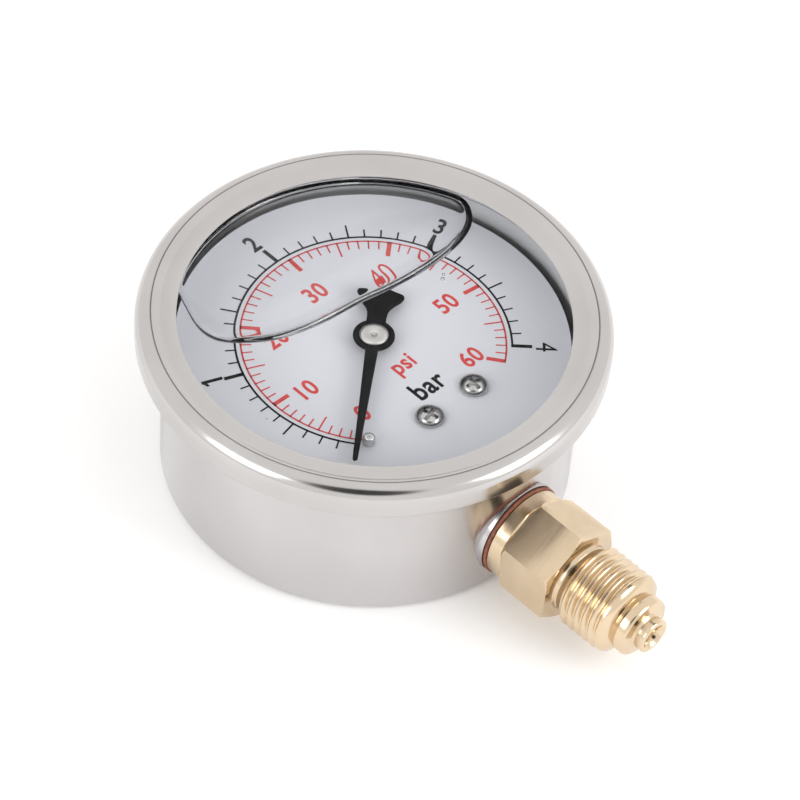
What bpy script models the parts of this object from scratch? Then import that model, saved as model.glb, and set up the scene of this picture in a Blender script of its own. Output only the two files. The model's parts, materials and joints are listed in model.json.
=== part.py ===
"""Liquid-filled pressure gauge with a coiled (C-shaped) pressure tube and a radial stem.

Metres.  +Z is the dial's normal, the stem leaves along -Y, and the origin is the centre of
the case back's outer face.  "Distance" on the stem is measured from the gauge's axis.
"""
import math

import bmesh
import bpy
from mathutils import Matrix

MM = 0.001

# ---- clearances -------------------------------------------------------------------------
SEAT_GAP = 0.10 * MM            # between stacked or seated pieces
PIVOT_GAP = 0.06 * MM           # radial, between a pivot and its hole
LOOSE_GAP = 0.30 * MM           # between pieces that only pass near each other

# ---- case and bezel ---------------------------------------------------------------------
CASE_RADIUS = 31.2 * MM
CASE_WALL = 0.6 * MM
VIEW_ROOM = 4.0 * MM            # pointer's face to the top of the case's rolled flange
CASE_EDGE = 1.5 * MM
FLANGE_WIDTH = 2.7 * MM
BEZEL_ROOM = 0.4 * MM           # flange's edge to the inside of the bezel
BEZEL_WALL = 0.7 * MM
BEZEL_ROUND = 2.35 * MM
BEZEL_LIP_ROUND = 0.6 * MM
BEZEL_SLOPE = 0.55 * MM         # drop of the inner band towards the window
BEZEL_STEP = 0.55 * MM          # height of the bead above the inner band
WINDOW_THICKNESS = 1.4 * MM
WINDOW_MARGIN = 4.1 * MM        # window edge beyond the opening
GASKET_SEAT = 0.45 * MM
GASKET_WALL = 0.9 * MM
BEZEL_STEPS = 48

# ---- stem (G 1/4 B) ---------------------------------------------------------------------
HEX_ACROSS_FLATS = 14.0 * MM
HEX_LENGTH = 8.9 * MM
HEX_LIFT = 2.2 * MM             # a flat of the hexagon above the case back, were it level
COLLAR_STEP = 0.3 * MM          # collar beyond the hexagon's flats
COLLAR_LENGTH = 2.4 * MM
THREAD_RADIUS = 6.578 * MM      # G 1/4 major diameter 13.157
THREAD_PITCH = 1.337 * MM
THREAD_DEPTH = 0.70 * MM
THREAD_TURNS = 5
UNDERCUT_RADIUS = 5.4 * MM
UNDERCUT_LENGTH = 2.6 * MM
SPIGOT_RADIUS = 4.75 * MM
STEM_THREAD_LENGTH = 13.0 * MM  # hexagon face to the end of the 9.5 mm spigot
NOSE_RADIUS = 2.75 * MM
NOSE_LENGTH = 2.0 * MM
BORE_RADIUS = 1.5 * MM
NECK_RADIUS = 4.8 * MM          # part of the stem that passes the case wall
NECK_ENGAGEMENT = 6.2 * MM      # length of neck inside the tube block
WASHER_STEP = 0.2 * MM          # washer beyond the collar
WASHER_THICKNESS = 0.5 * MM
PAD_STEP = 0.1 * MM             # flat pressed out of the case wall, beyond the washer
PAD_RISE = 0.1 * MM

# ---- tube block and pressure tube -------------------------------------------------------
BLOCK_SIDE = 3.2 * MM           # block beyond the stem's neck, each side
BLOCK_FLOOR = 1.2 * MM          # block under the neck
BLOCK_ROOF = 1.0 * MM           # block over the tube
BLOCK_FRONT = 13.4 * MM         # distance from the gauge's axis
SEAL_ROOM = 3.4 * MM            # block to the inside of the case
BACK_ROOM = 4.0 * MM            # case back to the tip piece
TUBE_ROOM = 7.6 * MM            # middle of the tube to the inside of the case
NECK_ROOM = 0.764 * MM          # stem's neck to the middle of the tube's fixed end
TUBE_HALF_WIDTH = 1.25 * MM
TUBE_HALF_HEIGHT = 3.0 * MM
TUBE_WALL = 0.35 * MM
TUBE_FREE_ANGLE = -5.0
TIP_COVER = 4.5                 # degrees of tube inside the tip piece
TIP_END = 3.0                   # degrees of tip piece past the tube
TIP_WALL = 0.8 * MM

# ---- movement ---------------------------------------------------------------------------
PLATE_THICKNESS = 0.8 * MM
PILLAR_X = 10.2 * MM            # the two lower pillars, level with the sector's shaft
PILLAR_TOP_Y = 7.8 * MM
PILLAR_RADIUS = 1.3 * MM
TENON_RADIUS = 0.7 * MM
PLATE_SCREW_X = 6.7 * MM
PLATE_SCREW_INSET = 1.9 * MM    # screw behind the block's front face
PLATE_EDGE = 2.4 * MM
GEAR_MODULE = 0.3 * MM
PINION_TEETH = 12
SECTOR_TEETH = 72               # on the full circle
SECTOR_CUT_TEETH = 13           # teeth really cut
STROKE = 45.0                   # degrees the sector turns for the pointer's whole travel
SECTOR_THICKNESS = 0.8 * MM
TAIL_ARM = 2.6 * MM
TAIL_ANGLE = -67.5              # direction of the tail from the sector's pivot at rest
LINK_ROOM = 0.5 * MM            # back plate to the link
LINK_THICKNESS = 0.7 * MM
LINK_PIN_RADIUS = 0.5 * MM
LINK_BOSS = 1.35 * MM
LINK_HALF_WIDTH = 0.7 * MM
LINK_OPEN_GAP = 0.36 * MM       # clearance at the pivot where the four-bar loop is opened
TIP_ARM = 7.5 * MM              # tube's middle to the tip's link pin
SHAFT_RADIUS = 0.95 * MM
PIVOT_RADIUS = 0.5 * MM
ARBOR_RADIUS = 0.8 * MM
SPRING_INNER = 2.1 * MM
SPRING_OUTER = 4.7 * MM
SPRING_TURNS = 3
SPRING_ROOM = 0.8 * MM          # sector to the hairspring
SPRING_HEIGHT = 0.5 * MM
SPRING_STRIP = 0.14 * MM
COLLET_RADIUS = 1.6 * MM

# ---- dial and pointer -------------------------------------------------------------------
DIAL_ROOM = 1.4 * MM            # dial's edge to the inside of the case
DIAL_THICKNESS = 0.5 * MM
DIAL_LIFT = 2.1 * MM            # front plate to the back of the dial
DIAL_SCREW_X = 4.5 * MM
DIAL_SCREW_DROP = 0.9 * MM      # dial screws below the plate screws
SCREW_HEAD_RADIUS = 2.2 * MM
SCREW_HEAD_HEIGHT = 1.3 * MM
SCREW_SHANK_RADIUS = 1.0 * MM
POST_RADIUS = 2.0 * MM
POINTER_REST = 219.2            # degrees from +X, where the pointer lies against the pin
POINTER_THICKNESS = 0.4 * MM
POINTER_ROOM = 4.7 * MM         # pointer's tip to the dial's edge
POINTER_ROOT = 0.92 * MM        # half width where the needle leaves the hub
POINTER_TIP = 0.45 * MM         # half width at the tip
HUB_RADIUS = 3.1 * MM
CAP_RADIUS = 2.15 * MM
CAP_HEIGHT = 0.45 * MM
PIN_RADIUS = 0.9 * MM
PIN_BACK = 4.6 * MM             # stop pin behind the pointer's tip

# ---- fill plug --------------------------------------------------------------------------
PLUG_HEIGHT = 14.0 * MM
PLUG_RADIUS = 3.6 * MM
PLUG_FLANGE = 5.2 * MM

# ---- sizes worked out from the ones above -----------------------------------------------
CASE_INNER = CASE_RADIUS - CASE_WALL
COLLAR_RADIUS = HEX_ACROSS_FLATS / 2 + COLLAR_STEP
WASHER_RADIUS = COLLAR_RADIUS + WASHER_STEP
PAD_RADIUS = WASHER_RADIUS + PAD_STEP
STEM_HEIGHT = HEX_ACROSS_FLATS / 2 + HEX_LIFT               # stem axis above the case back
BLOCK_WIDTH = 2 * (NECK_RADIUS + BLOCK_SIDE)
BLOCK_BACK = CASE_INNER - SEAL_ROOM                         # distance from the gauge's axis
BLOCK_BOTTOM = STEM_HEIGHT - NECK_RADIUS - BLOCK_FLOOR
TUBE_HEIGHT = CASE_WALL + BACK_ROOM + TIP_WALL + TUBE_HALF_HEIGHT     # centre of its section
TUBE_PATH_RADIUS = CASE_INNER - TUBE_ROOM
TUBE_FIXED_ANGLE = 270.0 - math.degrees(math.asin((NECK_RADIUS + NECK_ROOM) / TUBE_PATH_RADIUS))
BLOCK_TOP = TUBE_HEIGHT + TUBE_HALF_HEIGHT + BLOCK_ROOF
TIP_PIN_DISTANCE = TUBE_PATH_RADIUS - TIP_ARM
PINION_PITCH = GEAR_MODULE * PINION_TEETH / 2
SECTOR_PITCH = GEAR_MODULE * SECTOR_TEETH / 2
SECTOR_Y = -(PINION_PITCH + SECTOR_PITCH)
PILLARS = (("left", -PILLAR_X, SECTOR_Y), ("right", PILLAR_X, SECTOR_Y), ("top", 0.0, PILLAR_TOP_Y))
PLATE_SCREW_Y = -(BLOCK_FRONT + PLATE_SCREW_INSET)
BACK_PLATE_Z = BLOCK_TOP + 2 * SEAT_GAP
LINK_Z = BACK_PLATE_Z + PLATE_THICKNESS + LINK_ROOM
SECTOR_Z = LINK_Z + LINK_THICKNESS + LOOSE_GAP
SPRING_Z = SECTOR_Z + SECTOR_THICKNESS + SPRING_ROOM
FRONT_PLATE_Z = SPRING_Z + SPRING_HEIGHT + 2 * LOOSE_GAP
DIAL_TOP = FRONT_PLATE_Z + PLATE_THICKNESS + DIAL_LIFT + DIAL_THICKNESS
DIAL_RADIUS = CASE_INNER - DIAL_ROOM
DIAL_SCREW_Y = PLATE_SCREW_Y - DIAL_SCREW_DROP
POINTER_Z = DIAL_TOP + SCREW_HEAD_HEIGHT + 2 * SEAT_GAP     # clears the dial screws
POINTER_LENGTH = DIAL_RADIUS - POINTER_ROOM
PIN_DISTANCE = POINTER_LENGTH - PIN_BACK
CASE_DEPTH = POINTER_Z + POINTER_THICKNESS + VIEW_ROOM      # back face to the flange's top
FLANGE_UNDER = CASE_DEPTH - CASE_WALL
BEZEL_BOTTOM = FLANGE_UNDER - SEAT_GAP - BEZEL_WALL
BEZEL_RADIUS = CASE_RADIUS + FLANGE_WIDTH + BEZEL_ROOM + BEZEL_WALL
GASKET_Z = CASE_DEPTH + SEAT_GAP
WINDOW_Z = GASKET_Z + GASKET_SEAT + SEAT_GAP
WINDOW_TOP = WINDOW_Z + WINDOW_THICKNESS
VIEW_EDGE_Z = WINDOW_TOP + SEAT_GAP + BEZEL_WALL
BEZEL_TOP = VIEW_EDGE_Z + BEZEL_SLOPE + BEZEL_STEP - 0.15 * MM
WINDOW_RADIUS = BEZEL_RADIUS - BEZEL_WALL - LOOSE_GAP - GASKET_WALL - SEAT_GAP
VIEW_RADIUS = WINDOW_RADIUS - WINDOW_MARGIN                 # opening that the window shows through
PAD_FACE = CASE_RADIUS + PAD_RISE
WASHER_START = PAD_FACE + SEAT_GAP
COLLAR_START = WASHER_START + WASHER_THICKNESS + SEAT_GAP
HEX_START = COLLAR_START + COLLAR_LENGTH
HEX_END = HEX_START + HEX_LENGTH
THREAD_START = HEX_END + UNDERCUT_LENGTH
SPIGOT_END = HEX_END + STEM_THREAD_LENGTH
NOSE_END = SPIGOT_END + NOSE_LENGTH
NECK_END = max(BLOCK_BACK - NECK_ENGAGEMENT, PLATE_EDGE + LOOSE_GAP - PLATE_SCREW_Y)
HEX_CORNER = HEX_ACROSS_FLATS / 2 / math.cos(math.pi / 6)
SCREW_HOLE_RADIUS = SCREW_SHANK_RADIUS + SEAT_GAP
# the tube's straight steps stay inside the clearance of its socket, whatever its radius
TUBE_STEP = 2 * math.degrees(math.acos(1 - 0.9 * SEAT_GAP / TUBE_PATH_RADIUS))
TUBE_STEPS = math.ceil((TUBE_FIXED_ANGLE - TUBE_FREE_ANGLE) / TUBE_STEP)

FINISHES = {                    # colour, roughness, metallic
    "stainless": ((0.70, 0.68, 0.67), 0.22, 1.0),
    "glass": ((0.92, 0.95, 0.96), 0.03, 0.0),
    "rubber": ((0.03, 0.03, 0.03), 0.75, 0.0),
    "dial_white": ((0.86, 0.87, 0.89), 0.45, 0.0),
    "brass": ((0.80, 0.66, 0.42), 0.28, 1.0),
    "bronze": ((0.66, 0.43, 0.25), 0.32, 1.0),
    "fibre": ((0.32, 0.12, 0.08), 0.80, 0.0),
    "zinc_steel": ((0.66, 0.66, 0.66), 0.30, 1.0),
    "pointer_black": ((0.02, 0.02, 0.02), 0.35, 0.0),
}


# ---- Blender helpers --------------------------------------------------------------------
def clear_scene():
    for old in list(bpy.data.objects):
        bpy.data.objects.remove(old, do_unlink=True)


def new_collection(name):
    collection = bpy.data.collections.new(name)
    bpy.context.scene.collection.children.link(collection)
    return collection


def finish_material(finish):
    colour, roughness, metallic = FINISHES[finish]
    material = bpy.data.materials.get(finish) or bpy.data.materials.new(finish)
    material.use_nodes = True
    shader = material.node_tree.nodes["Principled BSDF"]
    shader.inputs["Base Color"].default_value = (*colour, 1.0)
    shader.inputs["Roughness"].default_value = roughness
    shader.inputs["Metallic"].default_value = metallic
    return material


def add_part(name, mesh, finish):
    """A named sub-part of the gauge."""
    part = bpy.data.objects.new(name, mesh)
    gauge.objects.link(part)
    mesh.materials.append(finish_material(finish))
    return part


def add_cutter(name, mesh):
    """A tool body: it shapes a part and is left out of the gauge."""
    tool = bpy.data.objects.new(name, mesh)
    cutters.objects.link(tool)
    tool.hide_render = True
    tool.display_type = "WIRE"
    return tool


def boolean(part, tool, operation):
    modifier = part.modifiers.new(f"{operation.lower()} {tool.name}", "BOOLEAN")
    modifier.operation = operation
    modifier.solver = "EXACT"
    modifier.object = tool


def cut(part, *tools):
    for tool in tools:
        boolean(part, tool, "DIFFERENCE")


def fuse(part, *tools):
    for tool in tools:
        boolean(part, tool, "UNION")


def smooth(part, degrees=35.0):
    part.data.shade_smooth()
    part.data.set_sharp_from_angle(angle=math.radians(degrees))


def line_mesh(name, points, closed):
    """A profile in the XZ plane, for a Screw modifier."""
    mesh = bpy.data.meshes.new(name)
    count = len(points)
    edges = [(i, i + 1) for i in range(count - 1)]
    if closed:
        edges.append((count - 1, 0))
    mesh.from_pydata([(r, 0.0, z) for r, z in points], edges, [])
    return mesh


def turn(part, steps):
    """Spin a profile once round Z.  The profile runs down the outer side."""
    screw = part.modifiers.new("turn", "SCREW")
    screw.axis = "Z"
    screw.angle = math.tau
    screw.steps = steps
    screw.render_steps = steps
    screw.use_merge_vertices = True
    screw.merge_threshold = 0.000001
    screw.use_smooth_shade = True


def turned(name, points, finish, steps=32, closed=True):
    part = add_part(name, line_mesh(name, points, closed), finish)
    turn(part, steps)
    return part


def turned_shell(name, points, wall, finish, steps):
    """A drawn or spun sheet: an open profile of its outer face, thickened inwards."""
    part = turned(name, points, finish, steps, closed=False)
    solid = part.modifiers.new("sheet", "SOLIDIFY")
    solid.thickness = wall
    solid.offset = -1.0
    solid.use_even_offset = True
    return part


def arc(centre_r, centre_z, radius, start, end, count):
    """Points of an arc in a profile, angles in degrees from +r towards +z."""
    angles = [math.radians(start + (end - start) * i / count) for i in range(count + 1)]
    return [(centre_r + radius * math.cos(a), centre_z + radius * math.sin(a)) for a in angles]


def on_axis(points, low, high):
    """Close a solid profile of revolution on its axis, top first."""
    return [(0.0, high)] + points + [(0.0, low)]


def cylinder_mesh(name, radius, low, high, sides=24, top_radius=None):
    mesh = bpy.data.meshes.new(name)
    body = bmesh.new()
    bmesh.ops.create_cone(body, cap_ends=True, segments=sides, radius1=radius,
                          radius2=radius if top_radius is None else top_radius, depth=high - low,
                          matrix=Matrix.Translation((0.0, 0.0, (low + high) / 2)))
    body.to_mesh(mesh)
    body.free()
    return mesh


def drill(name, radius, low, high, x=0.0, y=0.0, sides=20):
    """A cutting cylinder along Z."""
    tool = add_cutter(name, cylinder_mesh(name, radius, low, high, sides))
    tool.location = (x, y, 0.0)
    return tool


def along_stem(thing):
    """Turn a body made round +Z so that its axis is the stem's, pointing out."""
    thing.location = (0.0, 0.0, STEM_HEIGHT)
    thing.rotation_euler = (math.pi / 2, 0.0, 0.0)
    return thing


def box_mesh(name, low, high):
    mesh = bpy.data.meshes.new(name)
    body = bmesh.new()
    size = [b - a for a, b in zip(low, high)]
    middle = [(a + b) / 2 for a, b in zip(low, high)]
    bmesh.ops.create_cube(body, size=1.0, matrix=Matrix.Translation(middle) @ Matrix.Diagonal((*size, 1.0)))
    body.to_mesh(mesh)
    body.free()
    return mesh


def plate_mesh(name, outline, low, high):
    """A flat outline with a thickness, from a filled 2D curve made into a welded mesh."""
    curve = bpy.data.curves.new(name, "CURVE")
    curve.dimensions = "2D"
    curve.fill_mode = "BOTH"
    curve.extrude = (high - low) / 2
    spline = curve.splines.new("POLY")
    spline.points.add(len(outline) - 1)
    for point, (x, y) in zip(spline.points, outline):
        point.co = (x, y, 0.0, 1.0)
    spline.use_cyclic_u = True
    holder = bpy.data.objects.new(name + " outline", curve)
    bpy.context.scene.collection.objects.link(holder)
    bpy.context.view_layer.update()
    mesh = bpy.data.meshes.new_from_object(holder.evaluated_get(bpy.context.evaluated_depsgraph_get()))
    bpy.data.objects.remove(holder, do_unlink=True)
    body = bmesh.new()
    body.from_mesh(mesh)
    bmesh.ops.remove_doubles(body, verts=body.verts, dist=0.000001)
    bmesh.ops.translate(body, verts=body.verts, vec=(0.0, 0.0, (low + high) / 2))
    bmesh.ops.recalc_face_normals(body, faces=body.faces)
    body.to_mesh(mesh)
    body.free()
    mesh.name = name
    return mesh


def circle_points(x, y, radius, start, end, count):
    angles = [math.radians(start + (end - start) * i / count) for i in range(count + 1)]
    return [(x + radius * math.cos(a), y + radius * math.sin(a)) for a in angles]


def hull_outline(circles, per_circle=6):
    """Outline of a belt stretched round circles, which are given anticlockwise."""
    outline = []
    count = len(circles)
    leaving = []
    for i in range(count):
        ax, ay, ar = circles[i]
        bx, by, br = circles[(i + 1) % count]
        along = math.atan2(by - ay, bx - ax)
        tilt = math.asin((ar - br) / math.hypot(bx - ax, by - ay))
        leaving.append(math.degrees(along + tilt) - 90.0)
    for i in range(count):
        x, y, radius = circles[i]
        start, end = leaving[i - 1], leaving[i]
        while end < start:
            end += 360.0
        outline += circle_points(x, y, radius, start, end, per_circle)
    return outline


def spun_mesh(name, half_width, half_height, start, end, steps, corner=1.0, sides=12):
    """An upright section swept round the gauge's axis on the tube's path.

    corner is 1 for an oval section and small for a nearly square one.
    """
    body = bmesh.new()
    ring = []
    for i in range(sides):
        angle = math.tau * (i + 0.5) / sides
        x = math.copysign(abs(math.cos(angle)) ** corner, math.cos(angle)) * half_width
        z = math.copysign(abs(math.sin(angle)) ** corner, math.sin(angle)) * half_height
        ring.append(body.verts.new((TUBE_PATH_RADIUS + x, 0.0, TUBE_HEIGHT + z)))
    face = body.faces.new(ring)
    turn_to_start = Matrix.Rotation(math.radians(start), 4, "Z")
    bmesh.ops.transform(body, matrix=turn_to_start, verts=body.verts)
    bmesh.ops.spin(body, geom=[face, *face.edges, *face.verts], cent=(0.0, 0.0, 0.0), axis=(0.0, 0.0, 1.0),
                   angle=math.radians(end - start), steps=steps, use_merge=False)
    bmesh.ops.remove_doubles(body, verts=body.verts, dist=0.000001)
    bmesh.ops.recalc_face_normals(body, faces=body.faces)
    mesh = bpy.data.meshes.new(name)
    body.to_mesh(mesh)
    body.free()
    return mesh


def gear_points(pitch_radius, teeth, first, count, centre, facing):
    """Outline of count teeth, the first centred at the angle first (degrees, anticlockwise).

    facing is the angle of one tooth's pitch; teeth are straight-flanked with backlash.
    """
    outer = pitch_radius + 0.85 * GEAR_MODULE
    root = pitch_radius - 1.15 * GEAR_MODULE
    points = []
    for i in range(count):
        middle = first + i * facing
        for radius, share in ((root, -0.40), (outer, -0.13), (outer, 0.13), (root, 0.40)):
            angle = math.radians(middle + share * facing)
            points.append((centre[0] + radius * math.cos(angle), centre[1] + radius * math.sin(angle)))
    return points


def polar(radius, degrees):
    return radius * math.cos(math.radians(degrees)), radius * math.sin(math.radians(degrees))


# ---- case, bezel, window ----------------------------------------------------------------
def build_case():
    corner = 0.3 * MM
    profile = [(CASE_RADIUS + FLANGE_WIDTH, FLANGE_UNDER)]
    profile += arc(CASE_RADIUS + corner, FLANGE_UNDER - corner, corner, 90, 180, 2)
    profile += arc(CASE_RADIUS - CASE_EDGE, CASE_EDGE, CASE_EDGE, 0, -90, 4)
    profile.append((0.0, 0.0))
    case = turned_shell("case", profile, CASE_WALL, "stainless", BEZEL_STEPS)
    pad_depth = CASE_INNER - 2.0 * MM
    pad = along_stem(add_cutter("pad body", cylinder_mesh("pad body", PAD_RADIUS, pad_depth, PAD_FACE, 40)))
    hollow = along_stem(add_cutter("pad hollow", cylinder_mesh(
        "pad hollow", PAD_RADIUS - CASE_WALL, pad_depth - 2 * MM, PAD_FACE - CASE_WALL, 40)))
    hole = along_stem(add_cutter("stem hole", cylinder_mesh(
        "stem hole", NECK_RADIUS + LOOSE_GAP, BLOCK_BACK, PAD_FACE + 1 * MM, 32)))
    fill = add_cutter("fill hole", cylinder_mesh(
        "fill hole", PLUG_RADIUS + SEAT_GAP, CASE_INNER - 2 * MM, CASE_RADIUS + 1 * MM, 24))
    fill.location = (0.0, 0.0, PLUG_HEIGHT)
    fill.rotation_euler = (-math.pi / 2, 0.0, 0.0)
    fuse(case, pad)
    cut(case, hollow, hole, fill)
    return case


def build_bezel():
    crest = BEZEL_RADIUS - BEZEL_ROUND
    bead = crest - 0.95 * MM
    band_top = VIEW_EDGE_Z + BEZEL_SLOPE
    profile = [(VIEW_RADIUS, VIEW_EDGE_Z), (bead - 0.35 * MM, band_top), (bead, band_top - 0.15 * MM),
               (crest - 0.35 * MM, BEZEL_TOP - 0.1 * MM)]
    profile += arc(crest, BEZEL_TOP - BEZEL_ROUND, BEZEL_ROUND, 90, 0, 5)
    profile += arc(BEZEL_RADIUS - BEZEL_LIP_ROUND, BEZEL_BOTTOM + BEZEL_LIP_ROUND, BEZEL_LIP_ROUND, 0, -90, 2)
    profile.append((CASE_RADIUS + LOOSE_GAP + SEAT_GAP, BEZEL_BOTTOM))
    return turned_shell("bezel_ring", profile, BEZEL_WALL, "stainless", BEZEL_STEPS)


def build_window():
    edge = 0.2 * MM
    profile = [(WINDOW_RADIUS - edge, WINDOW_TOP), (WINDOW_RADIUS, WINDOW_TOP - edge),
               (WINDOW_RADIUS, WINDOW_Z + edge), (WINDOW_RADIUS - edge, WINDOW_Z)]
    return turned("window", on_axis(profile, WINDOW_Z, WINDOW_TOP), "glass", BEZEL_STEPS, closed=False)


def build_gasket():
    """An angle ring: the window lies on its seat and is centred by its wall."""
    wall_in = WINDOW_RADIUS + SEAT_GAP
    wall_out = wall_in + GASKET_WALL
    seat_top = GASKET_Z + GASKET_SEAT
    profile = [(wall_in, WINDOW_TOP - 0.5 * MM), (wall_out, WINDOW_TOP - 0.5 * MM), (wall_out, GASKET_Z),
               (CASE_INNER + LOOSE_GAP, GASKET_Z), (CASE_INNER + LOOSE_GAP, seat_top), (wall_in, seat_top)]
    return turned("window_gasket", profile, "rubber", BEZEL_STEPS)


def build_fill_plug():
    """A rubber plug in the case wall opposite the stem; its flange lies outside."""
    inner_end = CASE_INNER - 1.6 * MM
    flange_start = CASE_RADIUS + SEAT_GAP
    profile = [(PLUG_FLANGE - 0.6 * MM, flange_start + 1.5 * MM), (PLUG_FLANGE, flange_start + 0.9 * MM),
               (PLUG_FLANGE, flange_start), (PLUG_RADIUS, flange_start), (PLUG_RADIUS, inner_end + 0.6 * MM),
               (PLUG_RADIUS - 0.6 * MM, inner_end)]
    plug = turned("fill_plug", on_axis(profile, inner_end, flange_start + 1.5 * MM), "rubber", 24, closed=False)
    plug.location = (0.0, 0.0, PLUG_HEIGHT)
    plug.rotation_euler = (-math.pi / 2, 0.0, 0.0)
    return plug


# ---- stem -------------------------------------------------------------------------------
def build_stem():
    """Collar, hexagon, thread, spigot and nose in one turned piece with a bore."""
    chamfer = (HEX_CORNER - HEX_ACROSS_FLATS / 2) * 0.9
    rise = chamfer * math.tan(math.radians(30))
    root = THREAD_RADIUS - THREAD_DEPTH
    outer = [(1.9 * MM, NOSE_END), (NOSE_RADIUS - 0.25 * MM, NOSE_END), (NOSE_RADIUS, NOSE_END - 0.25 * MM),
             (NOSE_RADIUS, SPIGOT_END), (SPIGOT_RADIUS - 0.4 * MM, SPIGOT_END),
             (SPIGOT_RADIUS, SPIGOT_END - 0.4 * MM)]
    last = THREAD_START + THREAD_TURNS * THREAD_PITCH
    outer += [(SPIGOT_RADIUS, last + 1.3 * MM), (root, last + 0.5 * MM)]
    for turn_index in range(THREAD_TURNS, 0, -1):
        crest = THREAD_START + (turn_index - 0.5) * THREAD_PITCH
        outer += [(THREAD_RADIUS, crest + 0.12 * MM), (THREAD_RADIUS, crest - 0.12 * MM),
                  (root, crest - THREAD_PITCH / 2)]
    outer += [(UNDERCUT_RADIUS, THREAD_START - 0.5 * MM), (UNDERCUT_RADIUS, HEX_END),
              (HEX_CORNER - chamfer, HEX_END), (HEX_CORNER, HEX_END - rise), (HEX_CORNER, HEX_START),
              (COLLAR_RADIUS, HEX_START), (COLLAR_RADIUS, COLLAR_START), (NECK_RADIUS, COLLAR_START),
              (NECK_RADIUS, NECK_END)]
    bore = [(BORE_RADIUS, NECK_END), (BORE_RADIUS, NOSE_END - 1.2 * MM)]
    stem = along_stem(turned("stem", outer + bore, "brass", 28))
    trim = along_stem(add_cutter("hexagon trim", cylinder_mesh(
        "hexagon trim", HEX_CORNER * 1.5, HEX_START, HEX_END, 24)))
    prism = along_stem(add_cutter("hexagon prism", cylinder_mesh(
        "hexagon prism", HEX_CORNER, HEX_START - 1 * MM, HEX_END + 1 * MM, 6)))
    cut(trim, prism)
    cut(stem, trim)
    return stem


def build_stem_washer():
    inner = NECK_RADIUS + LOOSE_GAP
    end = WASHER_START + WASHER_THICKNESS
    profile = [(inner, end), (WASHER_RADIUS, end), (WASHER_RADIUS, WASHER_START), (inner, WASHER_START)]
    return along_stem(turned("stem_washer", profile, "fibre", 28))


def build_case_seal():
    """Rubber ring squeezed between the tube block and the inside of the case wall."""
    inner, outer = NECK_RADIUS + LOOSE_GAP, PAD_RADIUS - CASE_WALL - LOOSE_GAP
    start = BLOCK_BACK + SEAT_GAP
    end = math.sqrt(CASE_INNER ** 2 - outer ** 2) - LOOSE_GAP
    profile = [(inner, end), (outer, end), (outer, start), (inner, start)]
    return along_stem(turned("case_seal", profile, "rubber", 24))


def build_restrictor():
    """A small screw with a pin hole, set in the stem's bore to damp pressure spikes."""
    start = THREAD_START
    profile = [(0.3 * MM, start + 3 * MM), (BORE_RADIUS - SEAT_GAP, start + 3 * MM),
               (BORE_RADIUS - SEAT_GAP, start), (0.3 * MM, start)]
    return along_stem(turned("restrictor_screw", profile, "brass", 16))


# ---- pressure tube ----------------------------------------------------------------------
def build_tube_block():
    block = add_part("tube_block", box_mesh("tube_block", (-BLOCK_WIDTH / 2, -BLOCK_BACK, BLOCK_BOTTOM),
                                            (BLOCK_WIDTH / 2, -BLOCK_FRONT, BLOCK_TOP)), "brass")
    bevel = block.modifiers.new("edges", "BEVEL")
    bevel.width = 0.5 * MM
    bevel.segments = 1
    neck = along_stem(add_cutter("neck socket", cylinder_mesh(
        "neck socket", NECK_RADIUS + SEAT_GAP, NECK_END - SEAT_GAP, BLOCK_BACK + 1 * MM, 28)))
    tube_socket = add_cutter("tube socket", spun_mesh(
        "tube socket", TUBE_HALF_WIDTH + SEAT_GAP, TUBE_HALF_HEIGHT + SEAT_GAP,
        TUBE_FIXED_ANGLE + 0.3, TUBE_FIXED_ANGLE - 24.0, 6))
    cut(block, neck, tube_socket)
    for side in (-1, 1):
        cut(block, drill(f"plate screw hole {side}", SCREW_HOLE_RADIUS, BLOCK_TOP - 4 * MM, BLOCK_TOP + 1 * MM,
                         side * PLATE_SCREW_X, PLATE_SCREW_Y, 12))
    return block


def build_tube():
    tube = add_part("bourdon_tube", spun_mesh("bourdon_tube", TUBE_HALF_WIDTH, TUBE_HALF_HEIGHT,
                                              TUBE_FIXED_ANGLE, TUBE_FREE_ANGLE, TUBE_STEPS), "bronze")
    inside = add_cutter("tube inside", spun_mesh("tube inside", TUBE_HALF_WIDTH - TUBE_WALL,
                                                 TUBE_HALF_HEIGHT - TUBE_WALL,
                                                 TUBE_FIXED_ANGLE + 1, TUBE_FREE_ANGLE - 1, TUBE_STEPS))
    cut(tube, inside)
    smooth(tube)
    return tube


def build_tube_tip():
    """The end piece that closes the tube, with an arm that carries the link's outer pin."""
    tip = add_part("tube_tip", spun_mesh("tube_tip", TUBE_HALF_WIDTH + TIP_WALL, TUBE_HALF_HEIGHT + TIP_WALL,
                                         TUBE_FREE_ANGLE + TIP_COVER, TUBE_FREE_ANGLE - TIP_END, 3, 0.45), "brass")
    pin_x, pin_y = polar(TIP_PIN_DISTANCE, TUBE_FREE_ANGLE)
    root_x, root_y = polar(TUBE_PATH_RADIUS, TUBE_FREE_ANGLE + 0.5)
    arm_low = TUBE_HEIGHT + TUBE_HALF_HEIGHT + 0.3 * MM
    arm_high = LINK_Z - LOOSE_GAP
    outline = hull_outline([(pin_x, pin_y, LINK_BOSS), (root_x, root_y, 1.2 * MM)])
    arm = add_cutter("tip arm", plate_mesh("tip arm", outline, arm_low, arm_high))
    pin_top = LINK_Z + LINK_THICKNESS + 0.2 * MM
    pin = drill("tip pin", LINK_PIN_RADIUS, arm_low + 0.5 * MM, pin_top, pin_x, pin_y, 14)
    fuse(tip, arm, pin)
    cut(tip, add_cutter("tip socket", spun_mesh("tip socket", TUBE_HALF_WIDTH + SEAT_GAP,
                                                TUBE_HALF_HEIGHT + SEAT_GAP,
                                                TUBE_FREE_ANGLE + TIP_COVER + 2, TUBE_FREE_ANGLE - 0.3, 4)))
    return tip


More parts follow.
